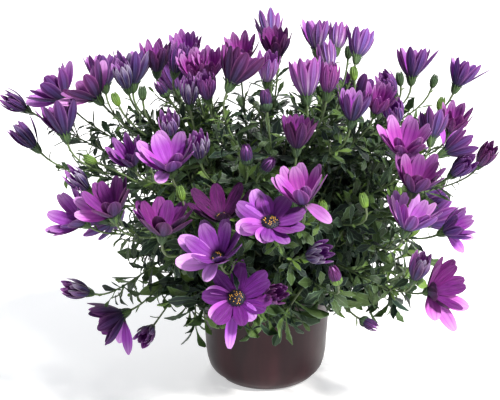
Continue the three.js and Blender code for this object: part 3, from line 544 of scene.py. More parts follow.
def back_blooms():
    """The blooms of the sprays over the back of the dome, by number."""
    made = {}
    for spray, (bearing, rise) in enumerate(BACK_SPRAYS):
        turn, lift = radians(bearing), radians(rise)
        level = cos(lift)
        outward = np.array([cos(turn) * level, sin(turn) * level, sin(lift)])
        middle = outward * DOME_RADII * SPRAY["shrink"] + DOME_CENTRE
        normal = unit(dome_normal(middle) + UP * SPRAY["lift"])
        across = unit(np.cross(normal, UP))
        pair = across, np.cross(across, normal)
        for i, form in enumerate(SPRAY["forms"]):
            offset = toward(pair, radians(120 * i + SPRAY["spin"] * spray))
            axis = unit(normal + offset * tan(radians(SPRAY["splay"])))
            number = SPRAY["first"] + 3 * spray + i
            foot = middle + offset * SPRAY_REACH[form] - axis * height_of(form)
            made[number] = {"number": number, "form": form, "foot": foot, "axis": axis, "scale": 1}
    return made


# ---- the cores that leaves grow round


def bearing_of(sector):
    return radians(-90 + 360 / SECTORS * sector)


def sector_of(point):
    turn = degrees(atan2(point[1], point[0] / CORE["stretch"])) + 90
    return floor(turn / (360 / SECTORS) + SECTORS + 0.5) % SECTORS


def core_facets(sector):
    """The outer facets of one stem's core, as corners."""
    draw = draws(SEEDS["cores"] + sector)
    rings = len(CORE_PROFILE)
    points = []
    for column in range(CORE["columns"] + 1):
        side = 2 * column / CORE["columns"] - 1
        turn = bearing_of(sector) + side * pi / SECTORS
        inset = side * CORE["gap"] if abs(side) == 1 else 0
        for ring, (radius, z) in enumerate(CORE_PROFILE):
            rough = 0 if ring in (0, rings - 1) else CORE["rough"]
            reach = radius + rough * (draw() - 0.5)
            x = (reach * cos(turn) + inset * sin(turn)) * CORE["stretch"]
            y = reach * sin(turn) - inset * cos(turn)
            points.append(np.array([x, y, z + rough * (draw() - 0.5)]))
    facets = []
    for column in range(CORE["columns"]):
        for ring in range(rings - 1):
            a = column * rings + ring
            facets.append([points[a], points[a + rings], points[a + rings + 1]])
            facets.append([points[a], points[a + rings + 1], points[a + 1]])
    return facets


def places_on(facets, count, draw):
    """A draw of points on facets, each with its normal; none lies close to a facet's first corner."""
    crosses = [np.cross(b - a, c - a) for a, b, c in facets]
    areas = [norm(cross) / 2 for cross in crosses]
    whole = sum(areas)
    made = []
    for _ in range(count):
        pick = draw() * whole
        index = 0
        for index, area in enumerate(areas):
            pick -= area
            if pick <= 0:
                break
        u, v = draw(), draw()
        if u + v > 1:
            u, v = 1 - u, 1 - v
        u, v = 0.15 + 0.55 * u, 0.15 + 0.55 * v
        a, b, c = facets[index]
        made.append((a * (1 - u - v) + b * u + c * v, unit(crosses[index])))
    return made


def nearest_way(places, foot):
    """The place on a core that a stalk reaches its bloom from most directly."""

    def cost(place):
        point, normal = place
        way = foot - point
        far = norm(way)
        aside = 1 - way @ normal / far
        return far * (1 + 0.5 * aside) + max(0, point[2] - foot[2] + 25)

    return min(places, key=cost)


# ---- materials


class Graph:
    """A material's nodes, made by short calls."""

    def __init__(self, name):
        self.material = bpy.data.materials.new(name)
        self.material.use_nodes = True
        self.tree = self.material.node_tree
        self.tree.nodes.clear()
        self.output = self.tree.nodes.new("ShaderNodeOutputMaterial")

    def put(self, socket, value):
        if isinstance(value, bpy.types.NodeSocket):
            self.tree.links.new(value, socket)
        elif isinstance(value, tuple) and len(value) == 3 and socket.type == "RGBA":
            socket.default_value = (*value, 1)
        else:
            socket.default_value = value

    def node(self, kind, inputs=(), **settings):
        made = self.tree.nodes.new(kind)
        for key, value in settings.items():
            setattr(made, key, value)
        for key, value in dict(inputs).items():
            self.put(made.inputs[key], value)
        return made

    def parts(self, name):
        """The three numbers of a point attribute."""
        made = self.node("ShaderNodeAttribute", attribute_name=name)
        return self.node("ShaderNodeSeparateXYZ", {"Vector": made.outputs["Vector"]}).outputs

    def position(self):
        return self.node("ShaderNodeTexCoord").outputs["Object"]

    def vector(self, x, y, z):
        return self.node("ShaderNodeCombineXYZ", {"X": x, "Y": y, "Z": z}).outputs[0]

    def math(self, operation, *values, clamp=False):
        made = self.node("ShaderNodeMath", dict(enumerate(values)), operation=operation, use_clamp=clamp)
        return made.outputs[0]

    def times(self, a, b, clamp=False):
        return self.math("MULTIPLY", a, b, clamp=clamp)

    def ramp(self, value, low, high, start=0.0, end=1.0):
        """A value carried smoothly from low..high to start..end."""
        inputs = {"Value": value, "From Min": low, "From Max": high, "To Min": start, "To Max": end}
        return self.node("ShaderNodeMapRange", inputs, interpolation_type="SMOOTHSTEP").outputs["Result"]

    def fall(self, value, low, high):
        """1 up to low, 0 from high."""
        return self.math("SUBTRACT", 1.0, self.ramp(value, low, high))

    def near(self, value, middle, low, high):
        """1 as far as low from the middle, 0 from high."""
        return self.fall(self.math("ABSOLUTE", self.math("SUBTRACT", value, middle)), low, high)

    def noise(self, vector, scale, detail=3.0):
        inputs = {"Vector": vector, "Scale": scale, "Detail": detail}
        return self.node("ShaderNodeTexNoise", inputs).outputs["Fac"]

    def streaks(self, across, crosswise, along, lengthwise, seed, scale):
        """Noise in a blade's own places, drawn out along it."""
        vector = self.vector(self.times(across, crosswise), self.times(along, lengthwise), seed)
        return self.noise(vector, scale)

    def mix(self, factor, a, b, blend="MIX"):
        inputs = {0: factor, 6: a, 7: b}
        return self.node("ShaderNodeMix", inputs, data_type="RGBA", blend_type=blend).outputs[2]

    def over(self, colour, *layers):
        """A colour with others laid over it, each by a factor or by the product of two."""
        for above, *factors in layers:
            colour = self.mix(factors[0] if len(factors) == 1 else self.times(*factors), colour, above)
        return colour

    def shaded(self, colour, shade):
        return self.mix(1.0, colour, self.vector(shade, shade, shade), "MULTIPLY")

    def shader(self, colour, roughness, bump=None, through=None, share=0.0, **others):
        """The finished material; bump is height, strength and distance, `through` a glow's colour."""
        inputs = {"Base Color": colour, "Roughness": roughness}
        if bump:
            inputs["Normal"] = self.node("ShaderNodeBump", dict(zip(BUMP_INPUTS, bump))).outputs[0]
        inputs.update({key.replace("_", " "): value for key, value in others.items()})
        result = self.node("ShaderNodeBsdfPrincipled", inputs).outputs[0]
        if through is not None:
            glow = self.node("ShaderNodeBsdfTranslucent", {"Color": through}).outputs[0]
            result = self.node("ShaderNodeMixShader", {0: share, 1: result, 2: glow}).outputs[0]
        self.tree.links.new(result, self.output.inputs["Surface"])
        return self.material


BUMP_INPUTS = ("Height", "Strength", "Distance")


def petal_material():
    """Bright lilac-magenta inside, dusky violet with slate stripes outside; `tint` is hue, value and dusk,
    value holding painted shade.
    """
    g = Graph("petal")
    across, along, side = g.parts("place")
    hue, value, dusk = g.parts("tint")
    away = g.math("ABSOLUTE", across)
    tip, band = g.ramp(along, 0.55, 1.0), g.fall(away, 0.22, 0.44)
    foot, low = g.fall(along, 0.0, 0.34), g.fall(along, 0.1, 0.8)
    inner = g.over(
        g.mix(hue, (0.37, 0.070, 0.54), (0.47, 0.075, 0.46)),
        # painted shade: as value falls, the inside turns a deeper purple
        (g.mix(hue, (0.30, 0.015, 0.54), (0.45, 0.012, 0.46)), g.ramp(value, 0.1, -1.0, 0.0, 0.65)),
        # painted highlight at the tips, weaker on darker blooms
        ((0.64, 0.38, 0.70), tip, g.ramp(value, -1.0, 0.7, 0.12, 0.68)),
        ((0.56, 0.36, 0.64), g.fall(away, 0.0, 0.18), 0.12),
        # painted shade along the two grooves of each petal
        ((0.22, 0.03, 0.30), g.near(away, 0.36, 0.02, 0.16), 0.4),
        ((0.13, 0.010, 0.14), foot, 0.8),
        ((0.012, 0.004, 0.02), g.fall(along, 0.06, 0.2)),
        # painted light: petals whose value is above 1, the loose ones, turn paler
        ((0.78, 0.52, 0.74), g.ramp(value, 1.0, 1.6, 0.0, 0.5)),
    )
    # painted shadow on the outsides, deepest at the foot, as deep as the bloom is dusky
    shadow = g.mix(band, (0.030, 0.022, 0.06), (0.075, 0.075, 0.19))
    depth = g.times(dusk, g.ramp(along, 0.2, 0.95, 1.5, 0.55), clamp=True)
    frost = g.ramp(dusk, 0.55, 1.0)
    pale = g.mix(band, (0.44, 0.14, 0.50), g.mix(hue, (0.33, 0.24, 0.66), (0.50, 0.24, 0.58)))
    streak = g.times(low, g.ramp(away, 0.5, 0.9))
    hem = g.mix(frost, g.mix(hue, (0.46, 0.24, 0.54), (0.48, 0.14, 0.42)), (0.66, 0.62, 0.74))
    outer = g.over(
        g.mix(hue, (0.145, 0.038, 0.28), (0.24, 0.034, 0.215)),
        (g.mix(hue, (0.16, 0.085, 0.39), (0.27, 0.07, 0.32)), band, 0.7),
        (g.mix(hue, (0.35, 0.15, 0.48), (0.40, 0.08, 0.34)), tip, 0.5),
        ((0.07, 0.05, 0.19), low, g.ramp(hue, 0.0, 1.0, 0.6, 0.25)),
        (shadow, depth, 0.9),
        ((0.50, 0.46, 0.60), frost, tip),
        (pale, dusk, -1.0),
        ((0.78, 0.70, 0.86), g.ramp(dusk, -0.1, -0.4), streak),
        ((0.045, 0.015, 0.08), g.near(away, 0.5, 0.03, 0.16), 0.55),
        ((0.06, 0.03, 0.11), g.fall(away, 0.0, 0.09), 0.5),
        (hem, g.ramp(away, 0.72, 1.0), 0.6),
        ((0.035, 0.04, 0.085), foot, 0.6),
    )
    cloud = g.ramp(g.streaks(across, 7.0, along, 1.2, hue, 3.0), 0.3, 0.7, 0.62, 0.92)
    shade = g.math("ADD", g.times(value, 0.42), cloud)
    colour = g.shaded(g.mix(g.ramp(side, 0.47, 0.53), outer, inner), shade)
    bump = g.streaks(across, 9.0, along, 1.0, value, 4.0), 0.5, 0.0008
    through = g.mix(0.35, colour, g.shaded((0.80, 0.17, 0.76), shade))
    return g.shader(colour, 0.55, bump, through, 0.3, Specular_IOR_Level=0.15, Sheen_Weight=0.05)


def leaf_material():
    """Dark old leaves to yellow-green young ones, with a painted highlight on the rim; `tint` is youth, value
    and hue, value lowered by painted shade.
    """
    g = Graph("leaf")
    across, along, side = g.parts("place")
    youth, value, hue = g.parts("tint")
    away = g.math("ABSOLUTE", across)
    colour = g.over(
        g.mix(youth, (0.009, 0.018, 0.019), (0.17, 0.29, 0.035)),
        ((0.045, 0.085, 0.055), hue, 0.1),
        ((0.14, 0.24, 0.09), g.fall(away, 0.0, 0.13), 0.4),
        # painted highlight: a pale rim along the leaf's edges
        ((0.17, 0.27, 0.17), g.ramp(away, 0.80, 0.98), 0.7),
    )
    blotch = g.streaks(across, 1.4, along, 4.0, hue, 2.5)
    shade = g.math("ADD", g.times(value, 0.5), g.ramp(blotch, 0.3, 0.7, 0.6, 0.9))
    colour = g.shaded(colour, shade)
    back = g.mix(0.2, colour, (0.085, 0.145, 0.10))
    colour = g.mix(g.ramp(side, 0.47, 0.53), back, colour)
    roughness = g.ramp(blotch, 0.2, 0.8, 0.3, 0.45)
    bump = g.streaks(across, 3.0, along, 7.0, value, 3.0), 0.5, 0.0008
    through = g.mix(0.25, colour, (0.25, 0.38, 0.08))
    return g.shader(colour, roughness, bump, through, 0.16, Specular_IOR_Level=0.22)


def stem_material():
    """Green stalks, woodier where they are old; `tint` is youth and value."""
    g = Graph("stem")
    along = g.parts("place")[1]
    youth, value, _ = g.parts("tint")
    grain = g.noise(g.position(), 700.0)
    colour = g.over(
        g.mix(youth, (0.065, 0.048, 0.033), (0.095, 0.15, 0.05)),
        ((0.055, 0.075, 0.03), g.ramp(grain, 0.35, 0.7, 0.0, 0.5)),
        ((0.10, 0.06, 0.08), value, g.ramp(along, 0.5, 1.0, 0.0, 0.3)),
    )
    return g.shader(colour, 0.6, (grain, 0.5, 0.0004))


def disc_material():
    """The blue-black eye, with orange pollen on the florets; `tint` is pollen and value."""
    g = Graph("disc")
    pollen, value, _ = g.parts("tint")
    along = g.parts("place")[1]
    dark = g.mix(value, (0.004, 0.005, 0.016), (0.022, 0.012, 0.04))
    colour = g.over(dark, ((0.74, 0.38, 0.06), pollen, g.ramp(along, 0.35, 0.7)))
    return g.shader(colour, 0.6, (g.noise(g.position(), 2500.0), 0.5, 0.0003))


def pot_material():
    """Dark red-brown nursery plastic: a soft gloss, faint flow streaks, scuffs and dust low down."""
    g = Graph("pot_plastic")
    place = g.position()
    x, y, z = g.node("ShaderNodeSeparateXYZ", {"Vector": place}).outputs
    flow = g.noise(g.vector(x, y, g.times(z, 0.12)), 60.0)
    dust = g.times(g.noise(place, 45.0, 5.0), g.ramp(z, 0.06, 0.0, 0.1, 0.9))
    colour = g.mix(g.ramp(flow, 0.3, 0.7), (0.0135, 0.0033, 0.0058), (0.03, 0.007, 0.0105))
    colour = g.mix(g.ramp(dust, 0.3, 0.75, 0.0, 0.16), colour, (0.13, 0.07, 0.075))
    roughness = g.ramp(g.noise(place, 30.0, 4.0), 0.3, 0.7, 0.32, 0.44)
    return g.shader(colour, roughness, (g.noise(place, 1400.0), 0.12, 0.0004), Specular_IOR_Level=0.2)


def soil_material():
    """Dark peat with paler fibres and crumbs."""
    g = Graph("peat")
    place = g.position()
    crumbs = g.noise(place, 260.0, 6.0)
    colour = g.mix(g.ramp(crumbs, 0.35, 0.65), (0.012, 0.008, 0.006), (0.055, 0.035, 0.022))
    fibres = g.ramp(g.noise(place, 900.0, 2.0), 0.62, 0.75, 0.0, 0.6)
    return g.shader(g.mix(fibres, colour, (0.16, 0.11, 0.07)), 0.95, (crumbs, 0.8, 0.002))


def floor_material():
    """A pale matt floor with the faintest grain, lit a little from within as a light table is."""
    g = Graph("pale_floor")
    grain = g.ramp(g.noise(g.position(), 3.0), 0.3, 0.7)
    colour = g.mix(grain, (0.70, 0.70, 0.70), (0.72, 0.72, 0.72))
    light = {"Emission_Color": (1.0, 1.0, 1.0), "Emission_Strength": 0.5}
    return g.shader(colour, 0.9, Specular_IOR_Level=0.1, **light)


# ---- blooms

MOST_ROLL = 0.9
DISC_PROFILE = ((0.7, -0.3), (0.98, 0.9), (0.85, 2.3), (0.5, 3.3), (0.06, 3.6))


def roll_to_eye(base, axis, outward, lean):
    """The roll about its own length that turns a petal's face towards the eye, as far as it will go."""
    view = unit(EYE - base)
    face = axis * sin(lean) - outward * cos(lean)
    side = np.cross(outward, axis)
    return min(MOST_ROLL, max(-MOST_ROLL, -atan2(view @ side, view @ face)))


def loose_petals(number, ring):
    """Which petals of the outer layer are out of line: each takes the nearest one left."""
    loose = {}
    for clock, *pose in LOOSE.get(number, ()):
        seen = toward((SEEN_RIGHT, SEEN_UP), radians(clock))
        free = [i for i, (layer, _) in enumerate(ring) if i not in loose and layer == 0]
        loose[max(free, key=lambda i: ring[i][1] @ seen)] = pose
    return loose


def corolla(sheets, bloom):
    """Both layers of petals of one bloom, and its eye where it is open enough to show."""
    number, form, foot, axis, scale = bloom.values()
    draw = draws(SEEDS["petals"] + number)
    shape = FORMS[form]
    base = foot + axis * (CALYX["length"] + CALYX["gap"])
    pair = across_of(axis)
    dusk = DUSKY.get(number, 0.25 * draw() + (0.35 if form == "wide" else 0))
    hue, value = draw(), draw()
    hue = 0.75 + 0.25 * hue if number in MAGENTA else 0.5 * hue
    # dark is the bloom's painted shade and deeper colour, taken off each petal's value
    dark, furl = TONE_AND_PAINTED_SHADE.get(number, 0), FURLED.get(number, 0)
    slim = (1 - 0.012 * max(0, furl)) * BREADTHS.get(number, 1)
    start = draw() * pi
    ring = []
    for layer, count in enumerate(shape["layers"]):
        for i in range(count):
            turn = start + ROUND * (i + 0.5 * layer + 0.09 * (draw() - 0.5)) / count
            ring.append((layer, toward(pair, turn)))
    loose = loose_petals(number, ring)
    for i, (layer, outward) in enumerate(ring):
        lean = PETAL["layer leans"][layer] - furl + spread(draw, 2.5)
        leans = (shape["foot"] + lean, shape["tip"] + lean + spread(draw, 7), shape["curl"] + spread(draw, 8))
        ragged = 0.12 if form == "open" else 0.05
        length = shape["length"] * PETAL["layer lengths"][layer] * (1 + spread(draw, ragged))
        breadth = shape["breadth"] * slim * (0.9 + 0.2 * draw())
        tint = (
            clipped(hue + spread(draw, 0.3)),
            clipped(value * 0.6 + 0.4 * draw()) - dark,
            min(1, dusk * (0.7 + 0.5 * draw())),
        )
        tilt, wave = radians(PETAL["tilt"] + spread(draw, 5)), spread(draw, 0.03)
        if i in loose:
            foot_lean, tip_lean, size = loose[i]
            leans, length = (foot_lean, tip_lean, 0), length * size
            breadth *= 0.76 if tip_lean > 90 else 1
            # Painted light: a petal that leans well out is brightened and loses its bloom's painted shade.
            if tip_lean > 50:
                tint = (tint[0], 0.95 + 0.6 * (tint[1] + dark), min(tint[2], 0))
                tilt = roll_to_eye(base, axis, outward, radians(tip_lean))
        petal(
            sheets, base, axis, outward, leans, length, breadth, scale, tint,
            tilt, wave, PETAL["layer inset"] * layer, shape["wrap"], shape["keen"],
        )
    if form != "closed":
        disc(sheets, base, axis, scale, draw, shape["eye"])


def disc(sheets, base, axis, scale, draw, reach):
    """The eye: a low dome under short florets, many of those inside its rim tipped with pollen."""
    pair = first, second = across_of(axis)
    turns = turns_of(14)
    rim = np.cos(turns)[:, None] * first - np.sin(turns)[:, None] * second
    rings = np.array([base + scale * (rim * radius * reach + axis * z) for radius, z in DISC_PROFILE])
    sheets.skin(rings[:, ::-1], None, (0, draw(), 0), 1)
    florets = int(1.5 * reach**2)
    for i in range(florets):
        share = sqrt((i + 0.5) / florets)
        way = toward(pair, i * GOLDEN)
        root = base + scale * (way * reach * 0.95 * share + axis * (3.3 - 2.3 * share**2))
        along = unit(axis + way * (0.6 * share))
        height = 1.2 + 0.8 * draw()
        path = [root, root + along * height * 0.5, root + along * height]
        pollen = 1.0 if share < 0.76 and draw() < 0.42 else 0.0
        tube(sheets, path, (0.4, 0.52, 0.3), 6, (pollen, draw(), share), 1)


def calyx(sheets, foot, axis, scale, lean, draw):
    """The green cup under a bloom: a receptacle, and pointed bracts that lie against it and the petals."""
    cup = CALYX["length"]
    heights = np.array([-0.8, 0.6, 2.2, 4.6, cup + 0.6])
    radii = np.array([1.0, 2.0, 3.1, 3.9, ROOT_RADIUS]) * scale
    tube(sheets, foot + axis * heights[:, None], radii, 12, (0.25, draw(), 0.5), 1)
    pair = across_of(axis)
    side_lean = tan(radians(lean))
    for i in range(CALYX["bracts"]):
        way = toward(pair, ROUND * (i + spread(draw, 0.15)) / CALYX["bracts"])
        tip = cup + (1.0 + 2.6 * draw()) * scale
        height = np.array([0.4, 2.4, 5.2, cup, tip])
        radius = np.array([1.6, 3.2, 4.3, 4.9, 5.1 + (tip - cup) * side_lean]) * scale + 0.35 * (i % 2)
        centre = foot + way * radius[:, None] + axis * height[:, None]
        side = np.cross(way, axis)
        normal = np.cross(side, np.gradient(centre, axis=0))
        normal /= norm(normal, axis=1)[:, None]
        tint = (0.1 + 0.4 * draw(), draw(), 0.6)
        folded(sheets, BRACT, centre, side, normal, 1.45 * scale, 0.2, 0.7, tint, 1)


def bud(sheets, colour, foot, axis, youth, hue, draw):
    """A bud: bracts closed round a core, with the petals' furled tips standing out of a purple one."""
    radius, length = BUD[colour]
    green = colour == "green"
    pair = across_of(axis)
    body = np.array([0.0, 0.1, 0.3, 0.55, 0.8, 1.0]) * length
    girth = np.array([0.3, 0.78, 1.0, 0.92, 0.5, 0.06]) * radius * (0.95 if green else 0.85)
    youth += 0.15 * draw()
    tube(sheets, foot + axis * body[:, None], girth, 12, (youth, draw(), 0.5), 1 if green else 2)
    for i in range(BUD_BRACTS):
        reach = length * (1.04 if green else 0.55) * (0.9 + 0.14 * draw())
        way = toward(pair, ROUND * (i / BUD_BRACTS))
        hug(sheets, foot, axis, way, radius, reach, radius * 0.62, (youth, draw(), 0.2), 1)
    for i in range(0 if green else BUD_PETALS):
        tint = (hue + 0.3 * draw(), 0.5 * draw() - 0.8, 0.8 - hue)
        way = toward(pair, ROUND * ((i + 0.5) / BUD_PETALS))
        hug(sheets, foot, axis, way, radius, length * 1.05, radius * 0.9, tint, 2)


def hug(sheets, foot, axis, way, radius, length, breadth, tint, kind):
    """A narrow bract that lies along a bud's side, out at its middle and in at its tip."""
    rows = BRACT[0]
    out = radius * (0.22 + 0.8 * np.sin(rows * pi * 0.94) ** 0.7)
    centre = foot + way * out[:, None] + axis * (length * rows)[:, None]
    folded(sheets, BRACT, centre, np.cross(way, axis), -way, breadth / 2, 0.3, 0.8, tint, kind)


# ---- foliage

SHOOTS = {
    "count": 58, "leaves": 9, "short": 16, "long": 36, "clump": 20, "size": 23, "size low down": 9,
    "young from": 170, "young over": 60,
}
SIDE_SHOOTS = {"from": 36, "every": 21, "ends": 10, "length": 15, "leaves": 5, "size": 20}
HABIT = {"rise": 0.7, "hang": 0.6, "skirt": 142, "slim": 160, "span": 30, "scatter": 0.7}
COVER = {"count": 80, "leaves": 3, "sunk": 16, "radius": 0.9, "shade": 0.7}
SKIRT = {"count": 9, "radius": 74, "height": 115, "bare": (-66, -22), "length": 10, "leaves": 7, "size": 27}
HANG = {"starts": 40, "sunk": 6, "points": 9, "every": 3.4, "leaf": 21, "leaf gain": 14, "shade": -0.25}
# Leafy shoots that hang over the rim and beside the pot: column and row of the tip in the photo and how far
# in front of the pot's middle it hangs.
HANGING = [
    (150, 262, 30), (172, 276, 40), (182, 290, 45), (190, 310, 52), (196, 328, 60), (204, 316, 72),
    (226, 306, 88), (241, 316, 92), (254, 324, 94), (268, 320, 94), (284, 322, 90), (322, 300, 70),
    (336, 302, 60), (350, 292, 54), (364, 300, 46), (380, 296, 42), (392, 304, 36), (404, 280, 36),
    (416, 266, 30),
]


class Stem:
    """One main stem and what grows from it: leaves, green and woody parts, round the facets of its core."""

    def __init__(self, sector):
        self.sector = sector
        self.leaves, self.wood = Sheets(), Sheets()
        self.facets = core_facets(sector)
        turn = bearing_of(sector)
        x, y = STEM["ring"] * cos(turn), STEM["ring"] * sin(turn)
        self.foot = np.array([x, y, SOIL_TOP - STEM["sunk"]])
        self.outward = flat(self.foot)


def low_down(point, height):
    """How far a point lies below one of the plant's heights, 0 to 1."""
    return clipped((HABIT[height] - point[2]) / HABIT["span"])


def habit(point, normal, draw):
    """The way that a shoot grows from a place: rising above, hanging low down."""
    low = low_down(point, "skirt")
    rise = HABIT["rise"] - (HABIT["rise"] + HABIT["hang"]) * low
    way = unit(normal + UP * rise + scattered(draw, HABIT["scatter"]))
    return way if way @ normal >= 0.3 else unit(way + normal * 0.6)


def leaving(way, turn, opening, to_sky, to_side):
    """The direction in which a leaf leaves a shoot at an angle, and where its face looks."""
    out = toward(across_of(way), turn)
    return unit(way * cos(opening) + out * sin(opening)), unit(way + UP * to_sky - out * to_side)


def leaf_at(stem, root, way, turn, opening, length, youth, shade, draw, deep=False):
    """A leaf on a leafy shoot: low on the plant they are broader, and deep inside it without teeth."""
    along, face = leaving(way, turn, opening, 0.9, 0.2)
    if abs(along @ face) > 0.95:
        face = unit(face + across_of(way)[0] * 0.5)
    low = low_down(root, "slim")
    breadth = length * (0.22 + 0.1 * draw() + 0.07 * low)
    droop = 0.25 + 0.9 * draw()
    shape = SPOON if draw() < 0.2 + 0.5 * low else TOOTHED
    tint = (clipped(youth + spread(draw, 0.18)), draw() - shade, draw())
    shape, fold = (BRACT, 0.12) if deep else (shape, 0.16 + 0.3 * draw())
    leaf(stem.leaves, shape, root, along, face, length, breadth, droop, fold, tint)


def shoot(stem, root, way, length, count, youth, size, draw, rise=0.5):
    """A leafy shoot tip: a short bent stem with leaves in a spiral, the youngest upright at its end."""
    bend = unit(way + UP * rise + scattered(draw, 0.3, 2))
    path = bezier(root, root + way * length * 0.4, root + way * length * 0.6, root + bend * length, 5)
    tube(stem.wood, path, np.linspace(1.0, 0.5, 5), 6, (0.8, draw(), 0), 0)
    start = draw() * ROUND
    for i in range(count):
        share = (i + 0.5) / count
        at = (path[0] + (path[-1] - path[0]) * share + path[min(4, int(share * 4 + 0.5))]) / 2
        opening = radians(78 - 52 * share + spread(draw, 10))
        reach = size * (1 - 0.55 * share**2) * (0.75 + 0.5 * draw())
        local = youth * (0.15 + 0.85 * share**1.5)
        # painted shade: the lower leaves of a shoot are darker
        leaf_at(stem, at, way, start + GOLDEN * i, opening, reach, local, 0.5 * (1 - share), draw)


def branch(stem, root, way, draw, radius=1.3, count=6, sides=6):
    """A branch from a main stem out to a shoot's or stalk's root."""
    fork = stem.foot + stem.outward * (STEM["reach"] * (0.2 + 0.8 * draw()))
    fork[2] = NECK + (STEM["top"] - NECK) * (0.3 + 0.7 * draw())
    span = norm(root - fork)
    leaving = fork + UP * span * 0.35 + stem.outward * span * 0.1
    path = bezier(fork, leaving, root - way * span * 0.35, root, count)
    tube(stem.wood, path, np.linspace(radius * 1.5, radius, count), sides, (0.45, draw(), 0), 0)


def along_path(path, distance):
    """The point and the direction at a distance along a path, from its end back."""
    run = run_of(steps_of(path))
    at = run[-1] - distance
    point = np.array([np.interp(at, run, path[:, axis]) for axis in range(3)])
    i = min(len(path) - 2, int(np.searchsorted(run, at, "right")) - 1)
    return point, unit(path[i + 1] - path[i])


def stalk(stem, path, draw, bare):
    """A flower stalk: nearly bare under its bloom, then leafier and leafier down to its root."""
    length = steps_of(path).sum()
    swell = 1 + 0.35 * np.linspace(0, 1, len(path)) ** 8
    tube(stem.wood, path, STALK["radius"] * swell, 8, (1, draw(), 0), 0)
    turn = draw() * ROUND
    distance = bare * (0.3 + 0.3 * draw())
    while distance < length - STALK["ends"]:
        grown = clipped((distance - bare) / STALK["thickens"])
        point, way = along_path(path, distance)
        along, face = leaving(way, turn, radians(28 + 35 * draw()), 0.4, 0.3)
        size = (STALK["leaf"] + STALK["leaf gain"] * grown) * (0.75 + 0.5 * draw())
        tint = (min(1, (0.55 - 0.35 * grown) * 1.6 * draw()), draw(), draw())
        shape = TOOTHED if grown > 0.3 else LEAFLET
        breadth = size * (0.24 + 0.1 * grown)
        leaf(stem.leaves, shape, point, along, face, size, breadth, 0.8 * draw(), 0.2, tint)
        turn += GOLDEN
        distance += STALK["bare every" if distance < bare else "every"] * (0.7 + 0.6 * draw())


def side_shoots(stem, path, draw):
    """Short leafy shoots that leave a flower stalk's lower part."""
    length = steps_of(path).sum()
    distance = SIDE_SHOOTS["from"] * (0.8 + 0.5 * draw())
    while distance < length - SIDE_SHOOTS["ends"]:
        point, way = along_path(path, distance)
        out = unit(way + toward(across_of(way), draw() * ROUND))
        reach = SIDE_SHOOTS["length"] * (0.7 + 0.7 * draw())
        shoot(stem, point, out, reach, SIDE_SHOOTS["leaves"], draw() ** 2, SIDE_SHOOTS["size"], draw)
        distance += SIDE_SHOOTS["every"] * (0.6 + 0.8 * draw())


def grow_stalk(stems, foot, axis, start_seed, seed, style):
    """A branch and a stalk from the core to a bloom's or bud's foot; gives its stem, path and draw."""
    stem = stems[sector_of(foot)]
    point, normal = nearest_way(places_on(stem.facets, STALK["starts"], draws(start_seed)), foot)
    start = point - normal * STALK["sunk"]
    span = norm(foot - start)
    outward = unit(unit(foot - start) + normal * 0.4)
    path = bezier(start, start + outward * span * 0.35, foot - axis * span * 0.3, foot, style["points"])
    draw = draws(seed)
    branch(stem, path[0], unit(path[1] - path[0]), draw)
    stalk(stem, path, draw, style["bare"])
    return stem, path, draw


def bloom_stalks(stems, blooms):
    for number, bloom in blooms.items():
        foot, axis = bloom["foot"], bloom["axis"]
        seeds = SEEDS["stalks"] + number, SEEDS["branches"] + number
        stem, path, draw = grow_stalk(stems, foot, axis, *seeds, STALK)
        side_shoots(stem, path, draw)
        calyx(stem.wood, foot, axis, bloom["scale"], FORMS[bloom["form"]]["foot"], draw)


def buds(stems):
    for i, (colour, *seen, deeper) in enumerate(BUDS):
        foot, axis, _ = stance(seen, BUD[colour][1], LEAST_BUD, deeper, shrink=BUD_DEPTH).values()
        seeds = SEEDS["buds"] + i, SEEDS["bud branches"] + i
        stem, _, draw = grow_stalk(stems, foot, axis, *seeds, BUD_STALK)
        youth, hue = 0.1 if i in DARK_BUDS else 0.8, 0.7 if i == PINK_BUD else 0.2
        bud(stem.wood, colour, foot, axis, youth, hue, draw)


def hanging_shoot(stems, column, row, ahead, draw):
    """A shoot that leaves the core low down, arches out over the pot's rim and hangs."""
    sight_line = sight(column, row)
    tip = EYE + sight_line * ((-ahead - EYE[1]) / sight_line[1])
    stem = stems[sector_of(tip)]
    starts = places_on(stem.facets, HANG["starts"], draw)
    low = [place for place in starts if place[0][2] < HABIT["skirt"]]
    root, normal = min(low, key=lambda place: norm(place[0] - tip))
    root = root - normal * HANG["sunk"]
    span = norm(tip - root)
    rising = (flat(tip) + UP * 0.5) * span * 0.4
    path = bezier(root, root + rising, tip + UP * span * 0.35, tip, HANG["points"])
    branch(stem, root, unit(path[1] - path[0]), draw)
    tube(stem.wood, path, np.linspace(1.3, 0.6, HANG["points"]), 6, (0.7, draw(), 0), 0)
    turn = draw() * ROUND
    distance = 1.0
    while distance < span * 0.8:
        point, way = along_path(path, distance)
        share = distance / span
        size = (HANG["leaf"] + HANG["leaf gain"] * min(1, 3 * share)) * (0.8 + 0.4 * draw())
        opening = radians(20 + 50 * min(1, 2 * share) + spread(draw, 10))
        leaf_at(stem, point, way, turn, opening, size, 0.65 * draw() ** 1.3, HANG["shade"], draw)
        turn += GOLDEN
        distance += HANG["every"] * (0.7 + 0.6 * draw())


def main_stem(stem):
    foot = stem.foot + UP
    knee, top = foot.copy(), foot + stem.outward * STEM["reach"]
    knee[2], top[2] = NECK, STEM["top"]
    upper = bezier(knee, knee + UP * 14, top - UP * 14 - stem.outward * 6, top, 7)
    radii = [STEM["radius"], *np.linspace(STEM["radius"], STEM["radius"] * 0.85, 7)]
    tube(stem.wood, np.concatenate([[foot], upper]), radii, 10, (0.1, 0.5, 0), 0)


